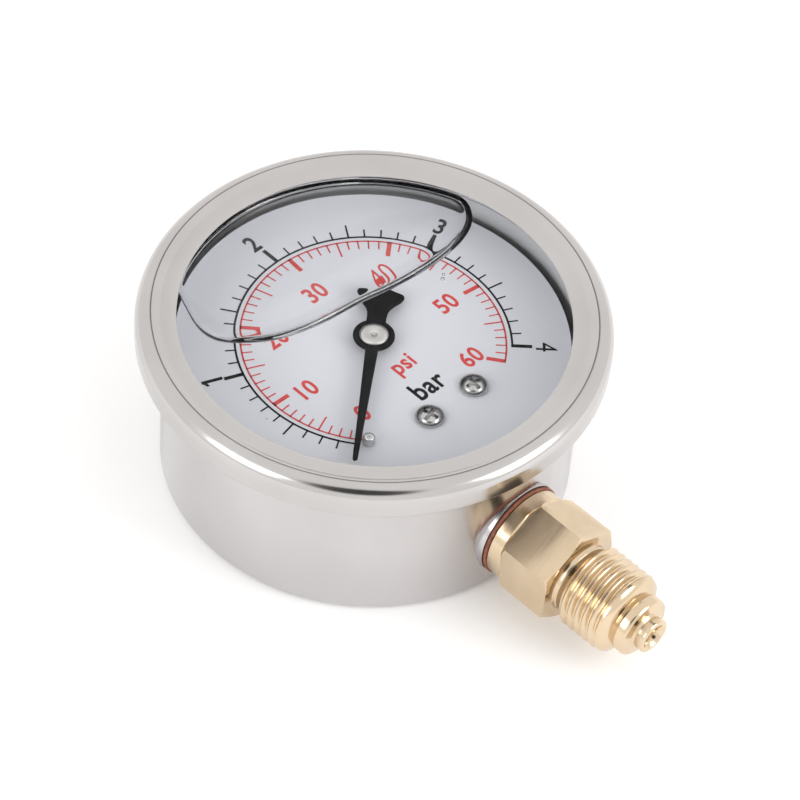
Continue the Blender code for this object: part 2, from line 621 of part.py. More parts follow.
# ---- movement ---------------------------------------------------------------------------
def plate_circles():
    (_, left_x, left_y), (_, right_x, right_y), (_, top_x, top_y) = PILLARS
    return [(-PLATE_SCREW_X, PLATE_SCREW_Y, PLATE_EDGE), (PLATE_SCREW_X, PLATE_SCREW_Y, PLATE_EDGE),
            (right_x, right_y, PLATE_EDGE), (top_x, top_y, PLATE_EDGE), (left_x, left_y, PLATE_EDGE)]


def build_plate(name, low, centre_hole):
    high = low + PLATE_THICKNESS
    plate = add_part(name, plate_mesh(name, hull_outline(plate_circles(), 4), low, high), "brass")
    below, above = low - 1 * MM, high + 1 * MM
    for side, x, y in PILLARS:
        cut(plate, drill(f"{name} {side} tenon hole", TENON_RADIUS + PIVOT_GAP, below, above, x, y, 12))
    cut(plate, drill(f"{name} arbor hole", centre_hole, below, above, 0.0, 0.0, 16),
        drill(f"{name} sector hole", PIVOT_RADIUS + PIVOT_GAP, below, above, 0.0, SECTOR_Y, 12))
    return plate


def build_plates():
    back = build_plate("movement_back_plate", BACK_PLATE_Z, PIVOT_RADIUS + PIVOT_GAP)
    front = build_plate("movement_front_plate", FRONT_PLATE_Z, ARBOR_RADIUS + PIVOT_GAP)
    for side in (-1, 1):
        cut(back, drill(f"back plate screw hole {side}", SCREW_HOLE_RADIUS, BACK_PLATE_Z - 1 * MM,
                        BACK_PLATE_Z + 2 * MM, side * PLATE_SCREW_X, PLATE_SCREW_Y, 12))
        cut(front, drill(f"post tenon hole {side}", TENON_RADIUS + PIVOT_GAP, FRONT_PLATE_Z - 1 * MM,
                         FRONT_PLATE_Z + 2 * MM, side * DIAL_SCREW_X, DIAL_SCREW_Y, 12))


def build_pillars():
    low, high = BACK_PLATE_Z + PLATE_THICKNESS + SEAT_GAP, FRONT_PLATE_Z - SEAT_GAP
    for side, x, y in PILLARS:
        profile = [(TENON_RADIUS, FRONT_PLATE_Z + PLATE_THICKNESS), (TENON_RADIUS, high), (PILLAR_RADIUS, high),
                   (PILLAR_RADIUS, low), (TENON_RADIUS, low), (TENON_RADIUS, BACK_PLATE_Z)]
        pillar = turned(f"movement_pillar_{side}",
                        on_axis(profile, BACK_PLATE_Z, FRONT_PLATE_Z + PLATE_THICKNESS), "brass", 16, closed=False)
        pillar.location = (x, y, 0.0)


def screw_profile(seat, head_radius, head_height, shank_radius, shank_length):
    """A pan-head screw with its seat at the given height."""
    return on_axis([(head_radius * 0.62, seat + head_height), (head_radius * 0.9, seat + head_height * 0.72),
                    (head_radius, seat + head_height * 0.3), (head_radius, seat), (shank_radius, seat),
                    (shank_radius, seat - shank_length)], seat - shank_length, seat + head_height)


def cut_cross(part, name, x, y, top, half_length, width, depth):
    """A cross recess: two narrow boxes sunk into the head."""
    for index, (dx, dy) in enumerate(((half_length, width / 2), (width / 2, half_length))):
        tool = add_cutter(f"{name} recess {index}", box_mesh(
            f"{name} recess {index}", (x - dx, y - dy, top - depth), (x + dx, y + dy, top + 1 * MM)))
        cut(part, tool)


def build_movement_screws():
    seat = BACK_PLATE_Z + PLATE_THICKNESS + SEAT_GAP
    for side, label in ((-1, "left"), (1, "right")):
        name = f"movement_screw_{label}"
        screw = turned(name, screw_profile(seat, 1.6 * MM, 0.8 * MM, SCREW_SHANK_RADIUS, 4.2 * MM),
                       "zinc_steel", 16, closed=False)
        screw.location = (side * PLATE_SCREW_X, PLATE_SCREW_Y, 0.0)
        slot = add_cutter(f"{name} slot", box_mesh(f"{name} slot", (-2 * MM, -0.2 * MM, seat + 0.45 * MM),
                                                   (2 * MM, 0.2 * MM, seat + 2 * MM)))
        slot.location = screw.location
        cut(screw, slot)


def build_sector():
    """Toothed sector, hub and tail arm; made in its rest position round its own pivot."""
    facing = 360.0 / SECTOR_TEETH
    middle = 90.0 - STROKE / 2
    first = middle - facing * (SECTOR_CUT_TEETH - 1) / 2
    first = 90.0 + facing * round((first - 90.0) / facing)      # a tooth points at the pinion
    teeth = gear_points(SECTOR_PITCH, SECTOR_TEETH, first, SECTOR_CUT_TEETH, (0.0, 0.0), facing)
    last = first + facing * (SECTOR_CUT_TEETH - 1)
    hub = 1.9 * MM
    inner = SECTOR_PITCH - 2.6 * MM
    outline = teeth + [polar(inner, last + 1.0), polar(hub, last + 40.0), polar(hub, last + 90.0),
                       polar(hub, first - 90.0), polar(hub, first - 40.0), polar(inner, first - 1.0)]
    low, high = SECTOR_Z, SECTOR_Z + SECTOR_THICKNESS
    sector = add_part("sector_gear", plate_mesh("sector_gear", outline, low, high), "brass")
    sector.location = (0.0, SECTOR_Y, 0.0)
    tail_x, tail_y = polar(TAIL_ARM, TAIL_ANGLE)
    tail = add_cutter("sector tail", plate_mesh(
        "sector tail", hull_outline([(0.0, 0.0, hub), (tail_x, tail_y, LINK_BOSS - 0.1 * MM)], 8), low, high))
    tail.location = sector.location
    window = [polar(r, first + share * (last - first)) for r, share in
              ((3.6 * MM, 0.22), (inner - 0.4 * MM, 0.10), (inner, 0.5), (inner - 0.4 * MM, 0.90),
               (3.6 * MM, 0.78))]
    lightening = add_cutter("sector window", plate_mesh("sector window", window, low - 1 * MM, high + 1 * MM))
    lightening.location = sector.location
    fuse(sector, tail)
    cut(sector, lightening,
        drill("sector shaft hole", SHAFT_RADIUS + PIVOT_GAP, low - 1 * MM, high + 1 * MM, 0.0, SECTOR_Y, 16),
        drill("sector tail hole", LINK_PIN_RADIUS + PIVOT_GAP, low - 1 * MM, high + 1 * MM,
              tail_x, SECTOR_Y + tail_y, 12))
    return sector


def pivot_profile(body_radius, low_end, low_shoulder, high_shoulder, high_end):
    return on_axis([(PIVOT_RADIUS, high_end), (PIVOT_RADIUS, high_shoulder), (body_radius, high_shoulder),
                    (body_radius, low_shoulder), (PIVOT_RADIUS, low_shoulder), (PIVOT_RADIUS, low_end)],
                   low_end, high_end)


def build_sector_shaft():
    shoulder_low = BACK_PLATE_Z + PLATE_THICKNESS + SEAT_GAP
    shoulder_high = FRONT_PLATE_Z - SEAT_GAP
    shaft = turned("sector_shaft", pivot_profile(SHAFT_RADIUS, BACK_PLATE_Z + SEAT_GAP, shoulder_low,
                                                 shoulder_high, FRONT_PLATE_Z + PLATE_THICKNESS),
                   "zinc_steel", 16, closed=False)
    shaft.location = (0.0, SECTOR_Y, 0.0)
    return shaft


def build_pinion():
    """Pinion and arbor in one piece; its upper end carries the pointer."""
    top = POINTER_Z + POINTER_THICKNESS + 0.2 * MM
    shoulder_low = BACK_PLATE_Z + PLATE_THICKNESS + SEAT_GAP
    end = PIVOT_RADIUS
    profile = on_axis([(end, top), (end + 0.1 * MM, DIAL_TOP + 0.6 * MM), (ARBOR_RADIUS, DIAL_TOP - DIAL_THICKNESS),
                       (ARBOR_RADIUS, shoulder_low), (PIVOT_RADIUS, shoulder_low),
                       (PIVOT_RADIUS, BACK_PLATE_Z + SEAT_GAP)], BACK_PLATE_Z + SEAT_GAP, top)
    pinion = turned("pinion_arbor", profile, "zinc_steel", 16, closed=False)
    facing = 360.0 / PINION_TEETH
    outline = gear_points(PINION_PITCH, PINION_TEETH, -90.0 + facing / 2, PINION_TEETH, (0.0, 0.0), facing)
    fuse(pinion, add_cutter("pinion teeth", plate_mesh("pinion teeth", outline, SECTOR_Z - 0.4 * MM,
                                                       SECTOR_Z + SECTOR_THICKNESS + 0.4 * MM)))
    return pinion


def tip_axis_place():
    """Where the tube's free end turns about as the tube opens: the centroid of its arc."""
    half_sweep = math.radians(TUBE_FIXED_ANGLE - TUBE_FREE_ANGLE) / 2
    distance = TUBE_PATH_RADIUS * math.sin(half_sweep) / half_sweep
    return polar(distance, (TUBE_FIXED_ANGLE + TUBE_FREE_ANGLE) / 2)


def tail_pin_place():
    x, y = polar(TAIL_ARM, TAIL_ANGLE)
    return x, SECTOR_Y + y


def build_link():
    """The rod between the tube's tip and the sector's tail."""
    inner_x, inner_y = tail_pin_place()
    outer_x, outer_y = polar(TIP_PIN_DISTANCE, TUBE_FREE_ANGLE)
    low, high = LINK_Z, LINK_Z + LINK_THICKNESS
    along = math.degrees(math.atan2(outer_y - inner_y, outer_x - inner_x))
    length = math.hypot(outer_x - inner_x, outer_y - inner_y)
    neck = math.degrees(math.asin(LINK_HALF_WIDTH / LINK_BOSS))
    outline = circle_points(0.0, 0.0, LINK_BOSS, neck, 360.0 - neck, 17)
    outline += circle_points(length, 0.0, LINK_BOSS, 180.0 + neck, 540.0 - neck, 17)
    link = add_part("link", plate_mesh("link", outline, low, high), "zinc_steel")
    holes = [add_cutter(f"link hole {i}", cylinder_mesh(f"link hole {i}", LINK_PIN_RADIUS + gap, low - 1 * MM,
                                                        high + 1 * MM, 16))
             for i, gap in ((0, PIVOT_GAP), (1, LINK_OPEN_GAP))]
    holes[1].location = (length, 0.0, 0.0)
    for thing in [link, *holes]:
        thing.matrix_world = (Matrix.Translation((inner_x, inner_y, 0.0))
                              @ Matrix.Rotation(math.radians(along), 4, "Z")
                              @ Matrix.Translation(thing.location))
    cut(link, *holes)
    return link


def build_link_pin():
    """Rivet that joins the link to the sector's tail, with a head under the link."""
    head_low, head_high = LINK_Z - LOOSE_GAP - 0.1 * MM, LINK_Z - SEAT_GAP
    top = SECTOR_Z + SECTOR_THICKNESS + 0.2 * MM
    profile = [(LINK_PIN_RADIUS, top), (LINK_PIN_RADIUS, head_high), (0.9 * MM, head_high), (0.9 * MM, head_low)]
    pin = turned("link_pin", on_axis(profile, head_low, top), "zinc_steel", 14, closed=False)
    pin.location = (*tail_pin_place(), 0.0)
    return pin


def build_hairspring():
    """A flat spiral that takes up the gears' backlash, with its collet and its stud."""
    count = 16 * SPRING_TURNS
    end_angle = 200.0
    mesh = bpy.data.meshes.new("hairspring")
    body = bmesh.new()
    verts = []
    for i in range(count + 1):
        share = i / count
        angle = math.radians(end_angle - 360.0 * SPRING_TURNS * (1.0 - share))
        radius = SPRING_INNER + (SPRING_OUTER - SPRING_INNER) * share
        verts.append(body.verts.new((radius * math.cos(angle), radius * math.sin(angle), SPRING_Z)))
    edges = [body.edges.new(pair) for pair in zip(verts, verts[1:])]
    ribbon = bmesh.ops.extrude_edge_only(body, edges=edges)
    raised = [item for item in ribbon["geom"] if isinstance(item, bmesh.types.BMVert)]
    bmesh.ops.translate(body, verts=raised, vec=(0.0, 0.0, SPRING_HEIGHT))
    body.to_mesh(mesh)
    body.free()
    spring = add_part("hairspring", mesh, "bronze")
    strip = spring.modifiers.new("strip", "SOLIDIFY")
    strip.thickness = SPRING_STRIP
    strip.offset = 0.0
    low = SPRING_Z - 0.1 * MM
    high = SPRING_Z + SPRING_HEIGHT + 0.1 * MM
    bore = ARBOR_RADIUS + PIVOT_GAP
    turned("hairspring_collet", [(bore, high), (COLLET_RADIUS, high), (COLLET_RADIUS, low), (bore, low)],
           "brass", 20)
    stud_x, stud_y = polar(SPRING_OUTER + 0.75 * MM, end_angle + 2.0)
    stud = turned("hairspring_stud", on_axis([(0.5 * MM, FRONT_PLATE_Z - SEAT_GAP), (0.5 * MM, low)],
                                             low, FRONT_PLATE_Z - SEAT_GAP), "brass", 12, closed=False)
    stud.location = (stud_x, stud_y, 0.0)


# ---- dial and pointer -------------------------------------------------------------------
def build_dial():
    low = DIAL_TOP - DIAL_THICKNESS
    dial = add_part("dial", cylinder_mesh("dial", DIAL_RADIUS, low, DIAL_TOP, 48), "dial_white")
    below, above = low - 1 * MM, DIAL_TOP + 1 * MM
    cut(dial, drill("arbor opening", 2.0 * MM, below, above, sides=24))
    for side in (-1, 1):
        cut(dial, drill(f"dial screw hole {side}", SCREW_HOLE_RADIUS, below, above,
                        side * DIAL_SCREW_X, DIAL_SCREW_Y, 16))
    pin_x, pin_y = stop_pin_place()
    cut(dial, drill("stop pin hole", PIN_RADIUS * 0.6 + SEAT_GAP, below, above, pin_x, pin_y, 12))
    return dial


def build_dial_posts():
    """Posts on the movement's front plate that carry the dial."""
    low, high = FRONT_PLATE_Z + PLATE_THICKNESS + SEAT_GAP, DIAL_TOP - DIAL_THICKNESS - SEAT_GAP
    for side, label in ((-1, "left"), (1, "right")):
        place = (side * DIAL_SCREW_X, DIAL_SCREW_Y, 0.0)
        profile = [(SCREW_HOLE_RADIUS, high), (POST_RADIUS, high), (POST_RADIUS, low), (TENON_RADIUS, low),
                   (TENON_RADIUS, FRONT_PLATE_Z), (0.0, FRONT_PLATE_Z), (0.0, low + 0.2 * MM),
                   (SCREW_HOLE_RADIUS, low + 0.2 * MM)]
        post = add_part(f"dial_post_{label}", line_mesh(f"dial_post_{label}", profile, True), "brass")
        turn(post, 20)
        post.location = place


def build_dial_screws():
    seat = DIAL_TOP + SEAT_GAP
    length = DIAL_THICKNESS + 1.5 * MM
    for side, label in ((-1, "left"), (1, "right")):
        name = f"dial_screw_{label}"
        screw = turned(name, screw_profile(seat, SCREW_HEAD_RADIUS, SCREW_HEAD_HEIGHT, SCREW_SHANK_RADIUS, length),
                       "zinc_steel", 24, closed=False)
        screw.location = (side * DIAL_SCREW_X, DIAL_SCREW_Y, 0.0)
        cut_cross(screw, name, side * DIAL_SCREW_X, DIAL_SCREW_Y, seat + SCREW_HEAD_HEIGHT,
                  1.15 * MM, 0.42 * MM, 0.7 * MM)


def needle_half_width(distance):
    share = (distance - HUB_RADIUS) / (POINTER_LENGTH - HUB_RADIUS)
    return POINTER_ROOT + (POINTER_TIP - POINTER_ROOT) * share


def stop_pin_place():
    """The pin touches the needle's anticlockwise side when the pointer is at rest."""
    offset = needle_half_width(PIN_DISTANCE) + PIN_RADIUS + SEAT_GAP
    return polar(PIN_DISTANCE, POINTER_REST + math.degrees(math.asin(offset / PIN_DISTANCE)))


def build_stop_pin():
    low, high = DIAL_TOP - DIAL_THICKNESS, POINTER_Z + POINTER_THICKNESS + 0.3 * MM
    foot = DIAL_TOP + SEAT_GAP
    profile = [(PIN_RADIUS - 0.2 * MM, high), (PIN_RADIUS, high - 0.2 * MM), (PIN_RADIUS, foot),
               (PIN_RADIUS * 0.6, foot), (PIN_RADIUS * 0.6, low)]
    pin = turned("stop_pin", on_axis(profile, low, high), "zinc_steel", 20, closed=False)
    pin.location = (*stop_pin_place(), 0.0)
    return pin


def pointer_outline():
    """Needle, round hub and axe-shaped counterweight along +X."""
    start = math.degrees(math.asin(POINTER_ROOT / HUB_RADIUS))
    neck = 1.45 * MM
    back = 180.0 - math.degrees(math.asin(neck / HUB_RADIUS))
    side = [(POINTER_LENGTH, -0.1 * MM), (POINTER_LENGTH - 0.35 * MM, POINTER_TIP)]
    side += circle_points(0.0, 0.0, HUB_RADIUS, start, back, 10)
    side += [(-4.6 * MM, 1.55 * MM), (-6.0 * MM, 2.3 * MM), (-7.2 * MM, 3.35 * MM)]
    side += circle_points(-8.1 * MM, 2.9 * MM, 0.75 * MM, 60.0, 150.0, 3)
    side += [(-9.5 * MM, 1.7 * MM), (-9.75 * MM, 0.0)]
    mirrored = [(x, -y) for x, y in reversed(side[1:-1])]
    return side + mirrored


def build_pointer():
    pointer = add_part("pointer", plate_mesh("pointer", pointer_outline(), POINTER_Z,
                                             POINTER_Z + POINTER_THICKNESS), "pointer_black")
    pointer.rotation_euler = (0.0, 0.0, math.radians(POINTER_REST))
    cut(pointer, drill("pointer hole", 1.0 * MM + SEAT_GAP, POINTER_Z - 1 * MM, POINTER_Z + 2 * MM, sides=20))
    return pointer


def build_pointer_boss():
    """Bush on the arbor, with a bright cap that clamps the pointer."""
    foot, under = DIAL_TOP + 0.7 * MM, POINTER_Z - SEAT_GAP / 2
    cap_low = POINTER_Z + POINTER_THICKNESS + SEAT_GAP / 2
    cap_high = cap_low + CAP_HEIGHT
    bore = PIVOT_RADIUS + 0.1 * MM + PIVOT_GAP
    arbor_end = POINTER_Z + POINTER_THICKNESS + 0.2 * MM
    profile = [(0.45 * MM, cap_high), (CAP_RADIUS - 0.15 * MM, cap_high), (CAP_RADIUS, cap_high - 0.15 * MM),
               (CAP_RADIUS, cap_low), (1.0 * MM, cap_low), (1.0 * MM, under), (1.5 * MM, under), (1.5 * MM, foot),
               (bore, foot), (bore, arbor_end + 0.05 * MM), (0.0, arbor_end + 0.05 * MM),
               (0.0, cap_high - 0.15 * MM)]
    boss = add_part("pointer_boss", line_mesh("pointer_boss", profile, True), "zinc_steel")
    turn(boss, 20)
    return boss


def hang_on_axis(name, x, y, names):
    """An empty on a joint's axis, with the pieces that turn about it as its children."""
    axis = bpy.data.objects.new(name, None)
    axis.location = (x, y, 0.0)
    gauge.objects.link(axis)
    bpy.context.view_layer.update()
    for piece in names:
        child = bpy.data.objects[piece]
        child.parent = axis
        child.matrix_parent_inverse = axis.matrix_world.inverted()


clear_scene()
gauge = new_collection("pressure gauge")
cutters = new_collection("cutters")
build_case()
build_bezel()
build_window()
build_gasket()
build_fill_plug()
build_stem()
build_stem_washer()
build_case_seal()
build_restrictor()
build_tube_block()
build_tube()
build_tube_tip()
build_plates()
build_pillars()
build_movement_screws()
build_sector()
build_sector_shaft()
build_pinion()
build_link()
build_link_pin()
build_hairspring()
build_dial()
build_dial_posts()
build_dial_screws()
build_stop_pin()
build_pointer()
build_pointer_boss()
hang_on_axis("pointer axis", 0.0, 0.0, ["pinion_arbor", "hairspring_collet", "pointer", "pointer_boss"])
hang_on_axis("sector axis", 0.0, SECTOR_Y, ["sector_gear", "sector_shaft", "link_pin"])
hang_on_axis("link axis", *tail_pin_place(), ["link"])
hang_on_axis("tip axis", *tip_axis_place(), ["tube_tip"])
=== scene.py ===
# Looks of a glycerine-filled pressure gauge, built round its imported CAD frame.
import json
import math

import bmesh
import bpy
from mathutils import Matrix, Vector


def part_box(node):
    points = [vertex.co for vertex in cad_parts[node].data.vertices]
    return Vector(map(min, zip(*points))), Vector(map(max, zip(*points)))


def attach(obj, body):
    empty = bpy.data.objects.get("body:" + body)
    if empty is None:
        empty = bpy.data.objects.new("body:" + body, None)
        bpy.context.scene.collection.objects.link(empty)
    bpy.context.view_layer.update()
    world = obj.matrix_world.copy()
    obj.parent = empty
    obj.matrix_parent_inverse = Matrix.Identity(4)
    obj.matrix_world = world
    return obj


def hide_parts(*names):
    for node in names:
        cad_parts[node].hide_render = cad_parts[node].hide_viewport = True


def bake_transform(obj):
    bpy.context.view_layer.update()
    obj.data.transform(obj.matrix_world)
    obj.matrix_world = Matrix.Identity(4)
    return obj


mm = 0.001
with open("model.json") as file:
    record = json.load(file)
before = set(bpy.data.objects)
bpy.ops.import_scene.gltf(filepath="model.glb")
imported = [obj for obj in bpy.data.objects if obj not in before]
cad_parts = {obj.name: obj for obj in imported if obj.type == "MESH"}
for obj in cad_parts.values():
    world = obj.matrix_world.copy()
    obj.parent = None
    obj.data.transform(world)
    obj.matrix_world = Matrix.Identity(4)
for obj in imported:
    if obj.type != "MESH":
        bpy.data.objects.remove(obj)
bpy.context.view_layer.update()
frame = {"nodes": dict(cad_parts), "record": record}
print("frame loaded:", len(frame["nodes"]), "nodes")


# every finish starts as a node material of its own
def startMaterial(name):
    material = bpy.data.materials.new(name)
    material.use_nodes = True
    tree = material.node_tree
    return material, tree, tree.nodes["Principled BSDF"]


def addNode(tree, kind, **settings):
    node = tree.nodes.new(kind)
    for key, value in settings.items():
        if key.startswith("in_"):
            node.inputs[key[3:].replace("_", " ")].default_value = value
        else:
            setattr(node, key, value)
    return node


# grain reads the piece's own object coordinates, stretched by Mapping, or rings round the dial's axis
def grainSource(tree, stretch, rings):
    place = addNode(tree, "ShaderNodeTexCoord").outputs["Object"]
    if rings:
        split = addNode(tree, "ShaderNodeSeparateXYZ")
        tree.links.new(place, split.inputs[0])
        flat = addNode(tree, "ShaderNodeCombineXYZ")
        tree.links.new(split.outputs["X"], flat.inputs["X"])
        tree.links.new(split.outputs["Y"], flat.inputs["Y"])
        radius = addNode(tree, "ShaderNodeVectorMath", operation="LENGTH")
        tree.links.new(flat.outputs[0], radius.inputs[0])
        joined = addNode(tree, "ShaderNodeCombineXYZ")
        tree.links.new(radius.outputs["Value"], joined.inputs["X"])
        tree.links.new(split.outputs["Z"], joined.inputs["Z"])
        place = joined.outputs[0]
    mapping = addNode(tree, "ShaderNodeMapping")
    mapping.inputs["Scale"].default_value = stretch
    tree.links.new(place, mapping.inputs["Vector"])
    return mapping.outputs["Vector"]


def makeFinish(name, look):
    material, tree, shader = startMaterial(name)
    where = grainSource(tree, look.get("stretch", (1, 1, 1)), look.get("rings", False))
    cloud = addNode(tree, "ShaderNodeTexNoise", in_Scale=look["cloudScale"], in_Detail=3.0)
    grain = addNode(tree, "ShaderNodeTexNoise", in_Scale=look["grainScale"], in_Detail=2.0)
    plain = addNode(tree, "ShaderNodeTexCoord").outputs["Object"]
    tree.links.new(plain, cloud.inputs["Vector"])
    tree.links.new(where, grain.inputs["Vector"])
    tones = addNode(tree, "ShaderNodeValToRGB")
    tones.color_ramp.elements[0].position = 0.35
    tones.color_ramp.elements[1].position = 0.65
    for element, colour in zip(tones.color_ramp.elements, look["tones"]):
        element.color = (*colour, 1.0)
    tree.links.new(cloud.outputs["Fac"], tones.inputs["Fac"])
    tree.links.new(tones.outputs["Color"], shader.inputs["Base Color"])
    rough = addNode(tree, "ShaderNodeMapRange", in_From_Min=0.3, in_From_Max=0.7,
                    in_To_Min=look["rough"][0], in_To_Max=look["rough"][1])
    tree.links.new(grain.outputs["Fac"], rough.inputs["Value"])
    tree.links.new(rough.outputs["Result"], shader.inputs["Roughness"])
    bump = addNode(tree, "ShaderNodeBump", in_Strength=look["bump"], in_Distance=look["depth"])
    tree.links.new(grain.outputs["Fac"], bump.inputs["Height"])
    tree.links.new(bump.outputs["Normal"], shader.inputs["Normal"])
    shader.inputs["Metallic"].default_value = look.get("metallic", 0.0)
    shader.inputs["Specular IOR Level"].default_value = look.get("specular", 0.5)
    return material


finishLooks = {
    "bezelSteel": {"tones": ((0.53, 0.51, 0.50), (0.57, 0.55, 0.54)), "metallic": 1.0,
                   "rough": (0.16, 0.19),
                   "cloudScale": 60, "grainScale": 3000, "rings": True, "bump": 0.04, "depth": 0.00002},
    "caseSteel": {"tones": ((0.57, 0.55, 0.55), (0.62, 0.60, 0.60)), "metallic": 1.0, "rough": (0.16, 0.22),
                  "cloudScale": 50, "grainScale": 40, "stretch": (1, 1, 120), "bump": 0.05,
                  "depth": 0.00002},
    "caseInside": {"tones": ((0.62, 0.63, 0.65), (0.68, 0.69, 0.71)), "metallic": 0.3,
                   "rough": (0.50, 0.60),
                   "cloudScale": 50, "grainScale": 40, "stretch": (1, 1, 120), "bump": 0.05,
                   "depth": 0.00002},
    "brassTurned": {"tones": ((0.67, 0.53, 0.365), (0.74, 0.59, 0.415)), "metallic": 1.0,
                    "rough": (0.14, 0.21),
                    "cloudScale": 160, "grainScale": 90, "stretch": (1, 40, 1), "bump": 0.04,
                    "depth": 0.00002},
    "brassSheet": {"tones": ((0.74, 0.56, 0.30), (0.82, 0.64, 0.37)), "metallic": 1.0,
                   "rough": (0.22, 0.34),
                   "cloudScale": 200, "grainScale": 1500, "bump": 0.05, "depth": 0.00002},
    "bronzeDrawn": {"tones": ((0.60, 0.38, 0.20), (0.70, 0.46, 0.27)), "metallic": 1.0,
                    "rough": (0.24, 0.34),
                    "cloudScale": 150, "grainScale": 1200, "bump": 0.05, "depth": 0.00002},
    "zincBright": {"tones": ((0.58, 0.585, 0.59), (0.68, 0.68, 0.675)), "metallic": 1.0,
                   "rough": (0.18, 0.28),
                   "cloudScale": 900, "grainScale": 2500, "bump": 0.05, "depth": 0.00002},
    "screwGrey": {"tones": ((0.52, 0.52, 0.51), (0.57, 0.57, 0.56)), "metallic": 1.0, "rough": (0.16, 0.2),
                  "cloudScale": 200, "grainScale": 1500, "bump": 0.015, "depth": 0.00001},
    "capSilver": {"tones": ((0.66, 0.65, 0.63), (0.74, 0.73, 0.71)), "metallic": 1.0, "rough": (0.28, 0.36),
                  "cloudScale": 900, "grainScale": 6000, "rings": True, "bump": 0.05, "depth": 0.00002},
    "rubberBlack": {"tones": ((0.018, 0.018, 0.018), (0.032, 0.032, 0.032)), "rough": (0.55, 0.75),
                    "cloudScale": 300, "grainScale": 3500, "bump": 0.15, "depth": 0.00005},
    "fibreRed": {"tones": ((0.20, 0.065, 0.035), (0.33, 0.12, 0.07)), "rough": (0.6, 0.8),
                 "cloudScale": 1400, "grainScale": 5000, "bump": 0.3, "depth": 0.00006},
    "dialEnamel": {"tones": ((0.64, 0.65, 0.70), (0.66, 0.67, 0.72)), "rough": (0.42, 0.5),
                   "cloudScale": 40, "grainScale": 5000, "bump": 0.03, "depth": 0.00002},
    "pointerBlack": {"tones": ((0.006, 0.006, 0.007), (0.010, 0.010, 0.011)), "rough": (0.45, 0.58),
                     "specular": 0.15,
                     "cloudScale": 500, "grainScale": 6000, "bump": 0.08, "depth": 0.00002},
    "inkBlack": {"tones": ((0.010, 0.011, 0.013), (0.016, 0.018, 0.02)), "rough": (0.4, 0.5),
                 "specular": 0.15,
                 "cloudScale": 800, "grainScale": 5000, "bump": 0.02, "depth": 0.00001},
    "inkRed": {"tones": ((0.58, 0.045, 0.045), (0.64, 0.065, 0.06)), "rough": (0.4, 0.5),
               "cloudScale": 800, "grainScale": 5000, "bump": 0.02, "depth": 0.00001},
}
finishes = {name: makeFinish(name, look) for name, look in finishLooks.items()}


def makeClear(name, ior, tint):
    material, tree, shader = startMaterial(name)
    haze = addNode(tree, "ShaderNodeTexNoise", in_Scale=70.0, in_Detail=2.0)
    tree.links.new(addNode(tree, "ShaderNodeTexCoord").outputs["Object"], haze.inputs["Vector"])
    shade = addNode(tree, "ShaderNodeValToRGB")
    shade.color_ramp.elements[0].color = (*tint, 1.0)
    shade.color_ramp.elements[1].color = (1.0, 1.0, 1.0, 1.0)
    tree.links.new(haze.outputs["Fac"], shade.inputs["Fac"])
    tree.links.new(shade.outputs["Color"], shader.inputs["Base Color"])
    shader.inputs["Roughness"].default_value = 0.0
    shader.inputs["IOR"].default_value = ior
    shader.inputs["Transmission Weight"].default_value = 1.0
    ray = addNode(tree, "ShaderNodeLightPath")
    either = addNode(tree, "ShaderNodeMath", operation="MAXIMUM")
    tree.links.new(ray.outputs["Is Shadow Ray"], either.inputs[0])
    tree.links.new(ray.outputs["Is Diffuse Ray"], either.inputs[1])
    mix = addNode(tree, "ShaderNodeMixShader")
    tree.links.new(either.outputs[0], mix.inputs[0])
    tree.links.new(shader.outputs[0], mix.inputs[1])
    tree.links.new(addNode(tree, "ShaderNodeBsdfTransparent").outputs[0], mix.inputs[2])
    tree.links.new(mix.outputs[0], tree.nodes["Material Output"].inputs["Surface"])
    return material


# where the window and the filling touch, light passes unbent
def makeJoin(name):
    material, tree, shader = startMaterial(name)
    tree.nodes.remove(shader)
    through = addNode(tree, "ShaderNodeBsdfTransparent")
    tree.links.new(through.outputs[0], tree.nodes["Material Output"].inputs["Surface"])
    return material


clear = {"ior": 1.475, "tint": (0.985, 0.992, 1.0)}
glassClear = makeClear("glassClear", clear["ior"], clear["tint"])
fillClear = makeClear("fillClear", clear["ior"], clear["tint"])
opticalJoin = makeJoin("opticalJoin")
print("materials made:", len(bpy.data.materials))


# pieces, and the meshes they are made from
def addPiece(name, mesh, *materials):
    piece = bpy.data.objects.new(name, mesh)
    bpy.context.scene.collection.objects.link(piece)
    for material in materials:
        mesh.materials.append(material)
    return piece


def setInFrame(piece, body, slot, *nodes):
    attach(piece, body)
    if nodes:
        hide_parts(*nodes)
    return piece


def meshFrom(name, work, degrees=30.0, place=None):
    bmesh.ops.remove_doubles(work, verts=work.verts, dist=0.0000005)
    bmesh.ops.recalc_face_normals(work, faces=work.faces)
    if place is not None:
        work.transform(place)
    mesh = bpy.data.meshes.new(name)
    work.to_mesh(mesh)
    work.free()
    mesh.shade_smooth()
    mesh.set_sharp_from_angle(angle=math.radians(degrees))
    return mesh


# spins a profile of (radius, height) in mm once round; a radius of 0 closes it on the axis
def lathe(name, profile, steps, closed=True, degrees=30.0, place=None):
    work = bmesh.new()
    rings = []
    for radius, height in profile:
        if radius < 1e-6:
            rings.append([work.verts.new((0, 0, height * mm))] * steps)
        else:
            rings.append([work.verts.new((radius * mm * math.cos(math.tau * i / steps),
                                          radius * mm * math.sin(math.tau * i / steps), height * mm))
                          for i in range(steps)])
    pairs = list(zip(rings, rings[1:])) + ([(rings[-1], rings[0])] if closed else [])
    for low, high in pairs:
        for i in range(steps):
            j = (i + 1) % steps
            corners = list(dict.fromkeys((low[i], low[j], high[j], high[i])))
            if len(corners) > 2:
                work.faces.new(corners)
    return meshFrom(name, work, degrees, place)


